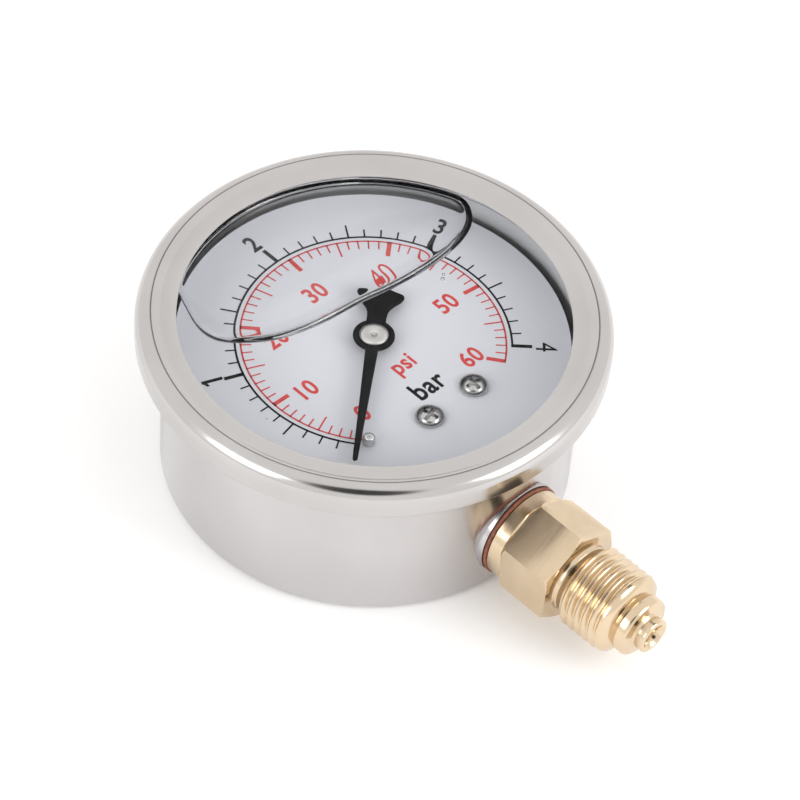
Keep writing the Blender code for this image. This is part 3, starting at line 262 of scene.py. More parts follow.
def arcPoints(centreR, centreZ, radius, start, end, count):
    angles = [math.radians(start + (end - start) * i / count) for i in range(count + 1)]
    return [(centreR + radius * math.cos(a), centreZ + radius * math.sin(a)) for a in angles]


# a sheet's closed section: its outer line and the same line moved in by the wall
def sheetSection(line, wall):
    inner = []
    for i, (r, z) in enumerate(line):
        before, after = line[max(i - 1, 0)], line[min(i + 1, len(line) - 1)]
        one = Vector((r - before[0], z - before[1])) if i else Vector((after[0] - r, after[1] - z))
        two = Vector((after[0] - r, after[1] - z)) if i < len(line) - 1 else one
        one, two = one.normalized(), two.normalized()
        side = Vector((one.y + two.y, -one.x - two.x))
        side = side.normalized() / max(0.5, math.cos(one.angle(two) / 2))
        inner.append((r + side.x * wall, z + side.y * wall))
    return line + inner[::-1]


def plateFrom(name, outline, low, high, place=None):
    work = bmesh.new()
    face = work.faces.new([work.verts.new((x * mm, y * mm, low * mm)) for x, y in outline])
    grown = bmesh.ops.extrude_face_region(work, geom=[face])
    lifted = [v for v in grown["geom"] if isinstance(v, bmesh.types.BMVert)]
    bmesh.ops.translate(work, verts=lifted, vec=(0, 0, (high - low) * mm))
    return meshFrom(name, work, place=place)


def rodMesh(name, radius, low, high, steps=64, topRadius=None, place=None):
    work = bmesh.new()
    bmesh.ops.create_cone(work, cap_ends=True, segments=steps, radius1=radius * mm,
                          radius2=(radius if topRadius is None else topRadius) * mm,
                          depth=(high - low) * mm,
                          matrix=Matrix.Translation((0, 0, (low + high) / 2 * mm)))
    return meshFrom(name, work, place=place)


# applies boolean tools, and a bevel if one is asked for, and leaves a plain mesh
def carved(name, mesh, tools, bevel=None, degrees=30.0):
    holder = addPiece(name + "Work", mesh)
    helpers = []
    for operation, toolMesh in tools:
        helper = addPiece("tool", toolMesh)
        helpers.append(helper)
        modifier = holder.modifiers.new("carve", "BOOLEAN")
        modifier.operation = operation
        modifier.solver = "EXACT"
        modifier.object = helper
    if bevel:
        modifier = holder.modifiers.new("edges", "BEVEL")
        modifier.width = bevel * mm
        modifier.segments = 2
        modifier.limit_method = "ANGLE"
        modifier.angle_limit = math.radians(35)
    bpy.context.view_layer.update()
    done = bpy.data.meshes.new_from_object(holder.evaluated_get(bpy.context.evaluated_depsgraph_get()))
    for thing in [holder, *helpers]:
        bpy.data.objects.remove(thing)
    done.name = name
    done.shade_smooth()
    done.set_sharp_from_angle(angle=math.radians(degrees))
    return done


stemHeight = (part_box("stem_washer")[0].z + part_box("stem_washer")[1].z) / 2 / mm
alongStem = Matrix.Translation((0, 0, stemHeight * mm)) @ Matrix.Rotation(math.pi / 2, 4, "X")

# drawn steel case, in mm
case = {"radius": 31.2, "wall": 0.6, "flange": 33.9, "under": 26.3, "cornerTop": 0.3, "cornerBack": 1.5,
        "padRadius": 7.6, "padFoot": 7.8, "padFace": 31.3, "padStart": 27.6, "hollowStart": 26.0,
        "stemHole": 5.1, "stemHoleStart": 25.0, "plugHole": 3.7, "plugHoleStart": 28.0, "holeEnd": 33.0,
        "plugHeight": 14.0, "steps": 192, "padSteps": 96, "holeSteps": 64}


def makeCase():
    line = [(case["flange"], case["under"])]
    line += arcPoints(case["radius"] + case["cornerTop"], case["under"] - case["cornerTop"],
                      case["cornerTop"],
                      90, 180, 4)
    line += arcPoints(case["radius"] - case["cornerBack"], case["cornerBack"], case["cornerBack"], 0, -90,
                      10)
    line = line[::-1]
    inner = [(case["radius"] - case["cornerBack"], case["wall"])]
    inner += arcPoints(case["radius"] - case["cornerBack"], case["cornerBack"],
                       case["cornerBack"] - case["wall"], -90, 0, 8)
    inner += [(case["radius"] - case["wall"], case["under"] - 0.1)]
    inner += arcPoints(case["radius"] + case["cornerTop"], case["under"] - case["cornerTop"],
                       case["cornerTop"] + case["wall"], 180, 90, 5)
    inner += [(case["flange"], case["under"] + case["wall"])]
    section = [(0.0, 0.0)] + line + inner[::-1] + [(0.0, case["wall"])]
    shell = lathe("caseShell", section, case["steps"], closed=False)
    pad = rodMesh("pad", case["padFoot"], case["padStart"], case["padFace"], case["padSteps"],
                  case["padRadius"],
                  alongStem)
    hollow = rodMesh("hollow", case["padFoot"] - case["wall"], case["hollowStart"],
                     case["padFace"] - case["wall"],
                     case["padSteps"], case["padRadius"] - case["wall"], alongStem)
    hole = rodMesh("hole", case["stemHole"], case["stemHoleStart"], case["holeEnd"], case["holeSteps"],
                   place=alongStem)
    toPlug = Matrix.Translation((0, 0, case["plugHeight"] * mm)) @ Matrix.Rotation(-math.pi / 2, 4, "X")
    plugHole = rodMesh("plugHole", case["plugHole"], case["plugHoleStart"], case["holeEnd"],
                       case["holeSteps"],
                       place=toPlug)
    mesh = carved("caseShell", shell, [("UNION", pad), ("DIFFERENCE", hollow), ("DIFFERENCE", hole),
                                       ("DIFFERENCE", plugHole)])
    piece = addPiece("caseShell", mesh, finishes["caseSteel"], finishes["caseInside"])
    for face in mesh.polygons:
        inside = Vector(face.center.xy).length < (case["radius"] - case["wall"] + 0.02) * mm
        if inside and face.center.z > 0.4 * mm:
            face.material_index = 1
    setInFrame(piece, "housing", "stainless", "case")


makeCase()

# ring crimped over the case, in mm
bezel = {"view": 28.9, "viewZ": 29.75,
         "band": [(29.6, 29.9), (30.4, 30.05), (31.2, 30.20), (31.6, 30.27), (31.85, 30.38), (32.1, 30.52),
                  (32.35, 30.63)],
         "crest": 32.65, "round": 2.35, "top": 30.7, "outer": 35.0, "bottom": 25.5, "lip": 0.6, "hem": 31.6,
         "wall": 0.7, "steps": 256}


def makeBezel():
    line = [(bezel["view"], bezel["viewZ"] - 0.12), (bezel["view"] + 0.04, bezel["viewZ"] - 0.03),
            (bezel["view"] + 0.14, bezel["viewZ"] + 0.02)]
    line += bezel["band"]
    line += arcPoints(bezel["crest"], bezel["top"] - bezel["round"], bezel["round"], 92, 0, 20)
    line += arcPoints(bezel["outer"] - bezel["lip"], bezel["bottom"] + bezel["lip"], bezel["lip"], 0, -90,
                      6)
    line += [(bezel["hem"], bezel["bottom"])]
    section = sheetSection(line, bezel["wall"])
    mesh = lathe("bezelRing", section, bezel["steps"], degrees=35)
    setInFrame(addPiece("bezelRing", mesh, finishes["bezelSteel"]), "housing", "stainless", "bezel_ring")


makeBezel()
print("case and bezel made")

# flat pane under the bezel
pane = {"radius": 33.0, "low": 27.55, "high": 28.95, "edge": 0.2, "steps": 192}


def makeWindow():
    edge = pane["edge"]
    section = [(0.0, pane["low"]), (pane["radius"] - edge, pane["low"]),
               (pane["radius"], pane["low"] + edge),
               (pane["radius"], pane["high"] - edge), (pane["radius"] - edge, pane["high"]),
               (0.0, pane["high"])]
    mesh = lathe("windowPane", section, pane["steps"], closed=False)
    piece = addPiece("windowPane", mesh, glassClear, opticalJoin)
    for face in mesh.polygons:
        if face.normal.z < -0.9:
            face.material_index = 1
    setInFrame(piece, "housing", "glass", "window")


makeWindow()

# filling, with the air bubble as a hollow in it
filling = {"radius": 30.63, "low": 0.57, "high": 27.53, "steps": 192}
bubble = {"top": 27.5, "depth": 3.0, "topRound": 0.6, "sideWidth": 0.9, "frontSlope": 3.2,
          "rimSteps": 16, "wallSteps": 16, "curveSteps": 12, "points": 300, "soften": 15, "slopeSoften": 60,
          "front": [(-16.6, 24.6), (-18.3, 20.6), (-19.6, 16.8), (-19.3, 13.4), (-17.3, 10.8), (-13.2, 7.7),
                    (-8.5, 5.9), (-3.8, 5.0), (1.7, 4.5), (7.7, 3.4), (13.0, 2.9), (17.5, 2.9), (21.3, 3.4),
                    (25.0, 4.7), (27.3, 6.8), (28.5, 9.6)],
          "wallRadius": 30.2, "wallStart": 24.0, "wallEnd": 119.0}
specks = [(13.9, -0.2, 0.34), (14.6, 0.35, 0.26), (-24.5, -3.0,
                                                   0.16)]  # small stray bubbles under the window


def bubbleOutline():
    points = list(bubble["front"])
    for i in range(bubble["wallSteps"] + 1):
        angle = math.radians(bubble["wallStart"]
                             + (bubble["wallEnd"] - bubble["wallStart"]) * i / bubble["wallSteps"])
        points.append((bubble["wallRadius"] * math.cos(angle), bubble["wallRadius"] * math.sin(angle)))
    points = [Vector(p) for p in points]
    dense = []
    n = len(points)
    for i in range(n):
        a, b, c, d = (points[(i + k) % n] for k in (-1, 0, 1, 2))
        for step in range(bubble["curveSteps"]):
            t = step / bubble["curveSteps"]
            dense.append(0.5 * ((2 * b) + (c - a) * t + (2 * a - 5 * b + 4 * c - d) * t * t
                                + (3 * b - a - 3 * c + d) * t ** 3))
    lengths = [0.0]
    for a, b in zip(dense, dense[1:] + dense[:1]):
        lengths.append(lengths[-1] + (b - a).length)
    total, even, k = lengths[-1], [], 0
    for i in range(bubble["points"]):
        goal = total * i / bubble["points"]
        while lengths[k + 1] < goal:
            k += 1
        share = (goal - lengths[k]) / max(lengths[k + 1] - lengths[k], 1e-9)
        even.append(dense[k].lerp(dense[(k + 1) % len(dense)], share))
    for _ in range(bubble["soften"]):
        even = [(even[i - 1] + even[i] * 2 + even[(i + 1) % len(even)]) / 4 for i in range(len(even))]
    return even


def makeFilling():
    work = bmesh.new()
    steps = filling["steps"]
    rings = [[work.verts.new((filling["radius"] * mm * math.cos(math.tau * i / steps),
                              filling["radius"] * mm * math.sin(math.tau * i / steps), z * mm))
              for i in range(steps)] for z in (filling["low"], filling["high"])]
    for i in range(steps):
        j = (i + 1) % steps
        work.faces.new((rings[0][i], rings[0][j], rings[1][j], rings[1][i]))
    work.faces.new(rings[0][::-1])
    top = work.faces.new(rings[1])
    top.material_index = 1
    outline = bubbleOutline()
    count = len(outline)
    # only the liquid's free edge slopes, fading out along the outline towards the case wall
    facing = [max(0.0,
                  (outline[(i + 2) % count] - outline[i - 2]).normalized().x) ** 2 for i in range(count)]
    for _ in range(bubble["slopeSoften"]):
        facing = [(facing[i - 1] + facing[i] * 2 + facing[(i + 1) % count]) / 4 for i in range(count)]
    loops = []
    for k in range(bubble["rimSteps"] + 1):
        angle = math.radians(90 - 180 * k / bubble["rimSteps"])
        bend, rise = 1 - math.cos(angle), math.sin(angle)
        fall = bubble["topRound"] * (1 - rise) if rise > 0 else bubble["topRound"] - (
            bubble["depth"] - bubble["topRound"]) * rise
        loop = []
        for i, p in enumerate(outline):
            along = (outline[(i + 2) % count] - outline[i - 2]).normalized()
            inward = Vector((-along.y, along.x))
            slope = bubble["frontSlope"] * facing[i] if rise < 0 else 0.0
            q = p + inward * bend * (bubble["sideWidth"] + slope)
            z = bubble["top"] - fall
            loop.append(work.verts.new((q.x * mm, q.y * mm, z * mm)))
        loops.append(loop)
    for upper, lower in zip(loops, loops[1:]):
        for i in range(count):
            j = (i + 1) % count
            work.faces.new((upper[i], lower[i], lower[j], upper[j])).smooth = True
    work.faces.new(loops[0])
    work.faces.new(loops[-1][::-1])
    for x, y, radius in specks:
        made = bmesh.ops.create_icosphere(work, subdivisions=3, radius=radius * mm,
                                          matrix=Matrix.Translation(
            (x * mm, y * mm, (bubble["top"] - radius) * mm)))
        for face in {f for v in made["verts"] for f in v.link_faces}:
            face.normal_flip()
            face.smooth = True
    mesh = bpy.data.meshes.new("glycerineFill")
    work.to_mesh(mesh)
    work.free()
    mesh.set_sharp_from_angle(angle=math.radians(50))
    setInFrame(addPiece("glycerineFill", mesh, fillClear, opticalJoin), "housing", "glass")


makeFilling()
print("window, filling and bubble made")

# dial plate, in mm
dialPlate = {"radius": 29.2, "low": 20.5, "high": 21.0, "hubHole": 2.0,
             "screws": ((-4.5, -16.2), (4.5, -16.2)),
             "screwHole": 1.1, "holeLow": 19.0, "holeHigh": 22.0, "edge": 0.06, "steps": 192}


def makeDial():
    edge = dialPlate["edge"]
    section = [(dialPlate["hubHole"], dialPlate["low"]), (dialPlate["radius"] - edge, dialPlate["low"]),
               (dialPlate["radius"], dialPlate["low"] + edge),
               (dialPlate["radius"], dialPlate["high"] - edge),
               (dialPlate["radius"] - edge, dialPlate["high"]), (dialPlate["hubHole"], dialPlate["high"])]
    disc = lathe("dialPlate", section, dialPlate["steps"])
    holes = [("DIFFERENCE", rodMesh("hole", dialPlate["screwHole"], dialPlate["holeLow"],
                                    dialPlate["holeHigh"], 32,
                                    place=Matrix.Translation((x * mm, y * mm, 0))))
             for x, y in dialPlate["screws"]]
    mesh = carved("dialPlate", disc, holes)
    setInFrame(addPiece("dialPlate", mesh, finishes["dialEnamel"]), "housing", "dial_white", "dial")


makeDial()

# printed scales: 0 at the lower left, clockwise through 270 degrees
scaleTurn = {"zero": 225.0, "barStep": -67.5, "psiPerBar": 14.5038, "arcSteps": 180}
inkDepth = {"low": 20.99, "high": 21.03}
# a row of ticks: name, first index, count, units apart, skipped every, length and width
barScale = {"arc": 20.4, "line": 0.32, "side": 1, "arcStart": 5.0,
            "ticks": (("minor", 1, 39, 0.1, 5, 1.7, 0.25), ("middle", 1, 8, 0.5, 2, 2.7, 0.28),
                      ("major", 1, 4, 1.0, 0, 3.1, 0.62))}
psiScale = {"arc": 19.55, "line": 0.26, "side": -1, "arcStart": 4.0,
            "ticks": (("minor", 1, 59, 1, 5, 1.7, 0.22), ("middle", 1, 12, 5, 2, 2.9, 0.25),
                      ("major", 1, 6, 10, 0, 2.9, 0.68))}


# one tree lays out any row of ticks; Skip Every drops those that a longer tick covers
def tickTree():
    tree = bpy.data.node_groups.new("tickRow", "GeometryNodeTree")
    face = tree.interface
    face.new_socket("Geometry", in_out="OUTPUT", socket_type="NodeSocketGeometry")
    for label, kind in (("First", "NodeSocketInt"), ("Count", "NodeSocketInt"),
                        ("Skip Every", "NodeSocketInt"),
                        ("Start Angle", "NodeSocketFloat"), ("Step Angle", "NodeSocketFloat"),
                        ("Middle Radius", "NodeSocketFloat"), ("Size", "NodeSocketVector"),
                        ("Middle Height", "NodeSocketFloat"), ("Ink", "NodeSocketMaterial")):
        face.new_socket(label, in_out="INPUT", socket_type=kind)
    inputs = addNode(tree, "NodeGroupInput").outputs
    join = tree.links.new

    def maths(operation, *values):
        node = addNode(tree, "ShaderNodeMath", operation=operation)
        for socket, value in zip(node.inputs, values):
            if isinstance(value, (int, float)):
                socket.default_value = value
            else:
                join(value, socket)
        return node.outputs[0]

    index = maths("ADD", addNode(tree, "GeometryNodeInputIndex").outputs[0], inputs["First"])
    angle = maths("ADD", maths("MULTIPLY", index, inputs["Step Angle"]), inputs["Start Angle"])
    place = addNode(tree, "ShaderNodeCombineXYZ")
    join(maths("MULTIPLY", maths("COSINE", angle), inputs["Middle Radius"]), place.inputs["X"])
    join(maths("MULTIPLY", maths("SINE", angle), inputs["Middle Radius"]), place.inputs["Y"])
    join(inputs["Middle Height"], place.inputs["Z"])
    points = addNode(tree, "GeometryNodePoints")
    join(inputs["Count"], points.inputs["Count"])
    join(place.outputs[0], points.inputs["Position"])
    remainder = maths("MODULO", index, inputs["Skip Every"])
    dropped = maths("MULTIPLY", maths("LESS_THAN", remainder, 0.5),
                    maths("GREATER_THAN", inputs["Skip Every"], 0.5))
    thinned = addNode(tree, "GeometryNodeDeleteGeometry", domain="POINT")
    join(points.outputs[0], thinned.inputs["Geometry"])
    join(dropped, thinned.inputs["Selection"])
    block = addNode(tree, "GeometryNodeMeshCube")
    join(inputs["Size"], block.inputs["Size"])
    turnTo = addNode(tree, "ShaderNodeCombineXYZ")
    heading = addNode(tree, "ShaderNodeMath", operation="ARCTAN2")
    spot = addNode(tree, "GeometryNodeInputPosition")
    parts = addNode(tree, "ShaderNodeSeparateXYZ")
    join(spot.outputs[0], parts.inputs[0])
    join(parts.outputs["Y"], heading.inputs[0])
    join(parts.outputs["X"], heading.inputs[1])
    join(heading.outputs[0], turnTo.inputs["Z"])
    rows = addNode(tree, "GeometryNodeInstanceOnPoints")
    join(thinned.outputs[0], rows.inputs["Points"])
    join(block.outputs["Mesh"], rows.inputs["Instance"])
    join(turnTo.outputs[0], rows.inputs["Rotation"])
    real = addNode(tree, "GeometryNodeRealizeInstances")
    join(rows.outputs[0], real.inputs[0])
    inked = addNode(tree, "GeometryNodeSetMaterial")
    join(real.outputs[0], inked.inputs["Geometry"])
    join(inputs["Ink"], inked.inputs["Material"])
    join(inked.outputs[0], addNode(tree, "NodeGroupOutput").inputs["Geometry"])
    return tree


def grownMesh(tree, name, values):
    holder = addPiece(name + "Row", bpy.data.meshes.new(name + "Row"))
    modifier = holder.modifiers.new("rows", "NODES")
    modifier.node_group = tree
    for item in tree.interface.items_tree:
        if item.in_out == "INPUT":
            modifier[item.identifier] = values[item.name]
    bpy.context.view_layer.update()
    mesh = bpy.data.meshes.new_from_object(holder.evaluated_get(bpy.context.evaluated_depsgraph_get()))
    holder.modifiers.remove(modifier)
    bpy.data.objects.remove(holder)
    return mesh


ticksTree = tickTree()


def scaleTicks(scale, degreesPerUnit, ink):
    meshes = []
    for label, first, count, unit, skip, length, width in scale["ticks"]:
        middle = scale["arc"] + scale["side"] * (length / 2 - scale["line"] / 2)
        meshes.append(grownMesh(ticksTree, label, {
            "First": first, "Count": count, "Skip Every": skip,
                                                   "Start Angle": math.radians(scaleTurn["zero"]),
            "Step Angle": math.radians(degreesPerUnit * unit), "Middle Radius": middle * mm,
            "Size": (length * mm, width * mm, (inkDepth["high"] - inkDepth["low"]) * mm),
            "Middle Height": (inkDepth["high"] + inkDepth["low"]) / 2 * mm, "Ink": ink}))
    return meshes


def scaleArc(radius, width, start, end):
    work = bmesh.new()
    rows = []
    for i in range(scaleTurn["arcSteps"] + 1):
        angle = math.radians(start + (end - start) * i / scaleTurn["arcSteps"])
        rows.append([work.verts.new((r * mm * math.cos(angle), r * mm * math.sin(angle), z * mm))
                     for r, z in ((radius - width / 2, inkDepth["low"]),
                                  (radius + width / 2, inkDepth["low"]),
                                  (radius + width / 2, inkDepth["high"]),
                                  (radius - width / 2, inkDepth["high"]))])
    for a, b in zip(rows, rows[1:]):
        for k in range(4):
            work.faces.new((a[k], a[(k + 1) % 4], b[(k + 1) % 4], b[k]))
    work.faces.new(rows[0])
    work.faces.new(rows[-1])
    return meshFrom("arc", work)


# words: text, x, y, height, turn, all in mm and degrees on the dial
lettering = {"squeeze": 0.8288, "weight": 0.022, "spacing": 1.08, "curveSteps": 6}
redWords = (("0", -11.2, -9.1, 3.1, 0), ("10", -14.0, -0.5, 3.1, 0), ("20", -10.6, 9.7, 3.1, 0),
            ("30", -0.2, 12.3, 3.1, 0), ("40", 9.8, 8.6, 3.1, 0), ("50", 13.2, -1.9, 3.1, 0),
            ("60", 8.3, -11.9, 3.1, 0), ("psi", -0.2, -6.65, 3.7, 0))
blackWords = (("1", -23.2, 9.6, 3.2, 67.5), ("2", -0.4, 25.4, 3.2, 0), ("3", 23.3, 9.65, 3.2, -67.5),
              ("4", 18.0, -18.0, 3.2, -135.0), ("bar", -0.4, -11.6, 3.5, 0))
# the 1 has a plain slanted top, which the font lacks
figureOne = ((0.55, 1.6), (0.05, 1.6), (-0.15, 1.3), (-0.6, 1.05), (-0.6, 0.6), (0.0, 0.85), (0.0, -1.6),
             (0.55, -1.6))


def wordMesh(text, x, y, height, turn):
    if text == "1":
        place = Matrix.Translation((x * mm, y * mm, 0)) @ Matrix.Rotation(math.radians(turn), 4, "Z")
        return plateFrom("figure", figureOne, inkDepth["low"], inkDepth["high"], place)
    curve = bpy.data.curves.new("word", "FONT")
    curve.body = text
    curve.offset = 0.0 if "4" in text else lettering["weight"]  # a heavier 4 would close up
    curve.space_character = lettering["spacing"]
    curve.extrude = 0.05  # scaled to the ink's depth below
    curve.resolution_u = lettering["curveSteps"]
    holder = bpy.data.objects.new("word", curve)
    bpy.context.scene.collection.objects.link(holder)
    bpy.context.view_layer.update()
    mesh = bpy.data.meshes.new_from_object(holder.evaluated_get(bpy.context.evaluated_depsgraph_get()))
    bpy.data.objects.remove(holder)
    work = bmesh.new()
    work.from_mesh(mesh)
    low = [min(v.co[k] for v in work.verts) for k in range(3)]
    high = [max(v.co[k] for v in work.verts) for k in range(3)]
    size = height * mm / (high[1] - low[1])
    thick = (inkDepth["high"] - inkDepth["low"]) * mm / (high[2] - low[2])
    centre = Vector([-(a + b) / 2 for a, b in zip(low, high)])
    place = (Matrix.Translation((x * mm, y * mm, (inkDepth["high"] + inkDepth["low"]) / 2 * mm))
             @ Matrix.Rotation(math.radians(turn), 4, "Z")
             @ Matrix.Diagonal((size * lettering["squeeze"], size, thick,
                                1.0)) @ Matrix.Translation(centre))
    work.transform(place)
    bmesh.ops.remove_doubles(work, verts=work.verts, dist=0.000002)
    bmesh.ops.recalc_face_normals(work, faces=work.faces)
    work.to_mesh(mesh)
    work.free()
    return mesh


def joinMeshes(name, meshes, material):
    work = bmesh.new()
    for mesh in meshes:
        work.from_mesh(mesh)
    joined = bpy.data.meshes.new(name)
    work.to_mesh(joined)
    work.free()
    joined.shade_flat()
    for face in joined.polygons:
        face.material_index = 0
    return addPiece(name, joined, material)


def makePrinting():
    barTurn, psiTurn = scaleTurn["barStep"], scaleTurn["barStep"] / scaleTurn["psiPerBar"]
    zero = scaleTurn["zero"]
    for name, scale, turn, span, words, ink in (
            ("barPrinting", barScale, barTurn, 4, blackWords, "inkBlack"),
            ("psiPrinting", psiScale, psiTurn, 60, redWords, "inkRed")):
        meshes = scaleTicks(scale, turn, finishes[ink])
        meshes.append(scaleArc(scale["arc"], scale["line"], zero - scale["arcStart"], zero + turn * span))
        meshes += [wordMesh(*word) for word in words]
        setInFrame(joinMeshes(name, meshes, finishes[ink]), "housing", "dial_white")


makePrinting()
print("dial and its printing made")

# pointer; rest is its angle against the stop pin
pointer = {"rest": 219.2, "low": 22.5, "high": 22.9, "length": 24.5, "root": 0.95, "tip": 0.36, "hub": 3.1,
           "neck": 1.45, "point": 0.35, "bevel": 0.05, "hole": 1.1, "holeLow": 21.5, "holeHigh": 24.0,
           "flare": [(-3.6, 1.44), (-4.6, 1.52), (-5.4, 1.80), (-6.1, 2.30), (-6.7, 2.85), (-7.2, 3.30)],
           "lobe": (-8.1, 2.9, 0.75), "back": [(-9.15, 2.2), (-9.5, 1.4), (-9.7, 0.7), (-9.75, 0.0)]}


def pointerOutline():
    start = math.degrees(math.asin(pointer["root"] / pointer["hub"]))
    back = 180 - math.degrees(math.asin(pointer["neck"] / pointer["hub"]))
    side = [(pointer["length"], -0.1), (pointer["length"] - pointer["point"], pointer["tip"])]
    side += arcPoints(0, 0, pointer["hub"], start, back, 28)
    side += pointer["flare"]
    side += arcPoints(*pointer["lobe"], 60, 160, 7)
    side += pointer["back"]
    return side + [(x, -y) for x, y in reversed(side[1:-1])]


def makePointer():
    turned = Matrix.Rotation(math.radians(pointer["rest"]), 4, "Z")
    blank = plateFrom("pointerNeedle", pointerOutline(), pointer["low"], pointer["high"], turned)
    hole = rodMesh("hole", pointer["hole"], pointer["holeLow"], pointer["holeHigh"], 48)
    mesh = carved("pointerNeedle", blank, [("DIFFERENCE", hole)], bevel=pointer["bevel"])
    setInFrame(addPiece("pointerNeedle", mesh, finishes["pointerBlack"]), "pointer", "pointer_black",
               "pointer")


makePointer()
cap = {"radius": 2.15, "low": 22.95, "high": 23.40, "dimple": 0.38, "bore": 0.66, "boreTop": 23.15,
       "sleeve": 1.5, "sleeveLow": 21.7, "sleeveHigh": 22.45, "neck": 1.0}


def makeCap():
    top = cap["high"]
    section = [(0.0, cap["boreTop"]), (cap["bore"], cap["boreTop"]), (cap["bore"], cap["sleeveLow"]),
               (cap["sleeve"], cap["sleeveLow"]), (cap["sleeve"], cap["sleeveHigh"]),
               (cap["neck"], cap["sleeveHigh"]), (cap["neck"], cap["low"]),
               (cap["radius"] - 0.04, cap["low"]), (cap["radius"], cap["low"] + 0.05),
               (cap["radius"], top - 0.24), (cap["radius"] - 0.05, top - 0.15),
               (cap["radius"] - 0.16, top - 0.08),
               (cap["radius"] - 0.34, top - 0.03), (cap["radius"] - 0.6, top), (cap["dimple"] + 0.12, top),
               (cap["dimple"], top - 0.04), (cap["dimple"] - 0.12, top - 0.2), (0.0, top - 0.22)]
    mesh = lathe("pointerCap", section, 96, closed=False, degrees=40)
    setInFrame(addPiece("pointerCap", mesh, finishes["capSilver"]), "pointer", "zinc_steel", "pointer_boss")


makeCap()
stopPin = {"radius": 0.9, "foot": 21.1, "shankLow": 20.5}


def makeStopPin():
    low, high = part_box("stop_pin")
    x, y, top = (low.x + high.x) / 2, (low.y + high.y) / 2, high.z / mm
    r = stopPin["radius"]
    section = [(0.0, stopPin["shankLow"]), (r * 0.6, stopPin["shankLow"]), (r * 0.6, stopPin["foot"]),
               (r, stopPin["foot"]), (r, top - 0.25), (r - 0.06, top - 0.12), (r - 0.22, top - 0.02),
               (r - 0.4, top), (0.0, top)]
    mesh = lathe("stopPin", section, 48, closed=False, degrees=50, place=Matrix.Translation((x, y, 0)))
    setInFrame(addPiece("stopPin", mesh, finishes["zincBright"]), "housing", "zinc_steel", "stop_pin")


makeStopPin()

# cross-slotted dial screws
screw = {"head": 2.2, "height": 1.3, "seat": 21.1, "shank": 1.0, "shankLow": 19.1, "crossLength": 1.45,
         "crossWidth": 0.58, "crossDepth": 0.85, "rim": 0.28, "turns": (("Left", 14.0), ("Right", -8.0))}


def makeDialScrews():
    r, seat, height = screw["head"], screw["seat"], screw["height"]
    dome = [(r * math.sin(math.radians(a)),
             seat + screw["rim"] + (height - screw["rim"]) * math.cos(math.radians(a)))
            for a in (90, 80, 70, 60, 50, 40, 30, 20, 10)]
    section = [(0.0, screw["shankLow"]), (screw["shank"], screw["shankLow"]), (screw["shank"], seat),
               (r - 0.06, seat),
               (r, seat + 0.06)] + dome + [(0.0, seat + height)]
    for label, turn in screw["turns"]:
        low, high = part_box("dial_screw_" + label.lower())
        place = Matrix.Translation(((low.x + high.x) / 2, (low.y + high.y) / 2, 0))
        head = lathe("head", section, 72, closed=False, degrees=40, place=place)
        tools = []
        for quarter in (0, 90):
            sink = place @ Matrix.Rotation(math.radians(turn + quarter), 4, "Z")
            wedge = bmesh.new()
            corners = [wedge.verts.new((sx * a * mm, sy * b * mm, z * mm))
                       for a, b, z in ((screw["crossLength"] * 0.55, screw["crossWidth"] * 0.35,
                                        seat + height - screw["crossDepth"]),
                                       (screw["crossLength"] * 1.1, screw["crossWidth"] * 0.62,
                                        seat + height + 0.2))
                       for sx, sy in ((-1, -1), (1, -1), (1, 1), (-1, 1))]
            for ids in ((3, 2, 1, 0), (4, 5, 6, 7), (0, 1, 5, 4), (1, 2, 6, 5), (2, 3, 7, 6), (3, 0, 4, 7)):
                wedge.faces.new([corners[i] for i in ids])
            tools.append(("DIFFERENCE", meshFrom("wedge", wedge, place=sink)))
        mesh = carved("dialScrew" + label, head, tools, degrees=40)
        piece = addPiece("dialScrew" + label, mesh, finishes["screwGrey"])
        setInFrame(piece, "housing", "zinc_steel", "dial_screw_" + label.lower())


makeDialScrews()
print("pointer and screws made")

# stem; starts and ends are distances from the dial's axis
stem = {"neck": 4.8, "neckEnd": 21.0, "collar": 7.3, "collarStart": 32.0, "hexStart": 34.4, "hexEnd": 43.3,
        "flats": 14.0, "undercut": 5.5, "threadStart": 45.3, "threadEnd": 52.4, "pitch": 1.337,
        "crest": 6.578,
        "root": 5.85, "valley": 4.5, "spigot": 4.75, "spigotStart": 54.5, "spigotEnd": 56.3, "nose": 2.75,
        "noseEnd": 58.3, "bore": 1.5, "boreDepth": 2.4, "mouth": 2.05, "endLand": 6.36, "columns": 96}


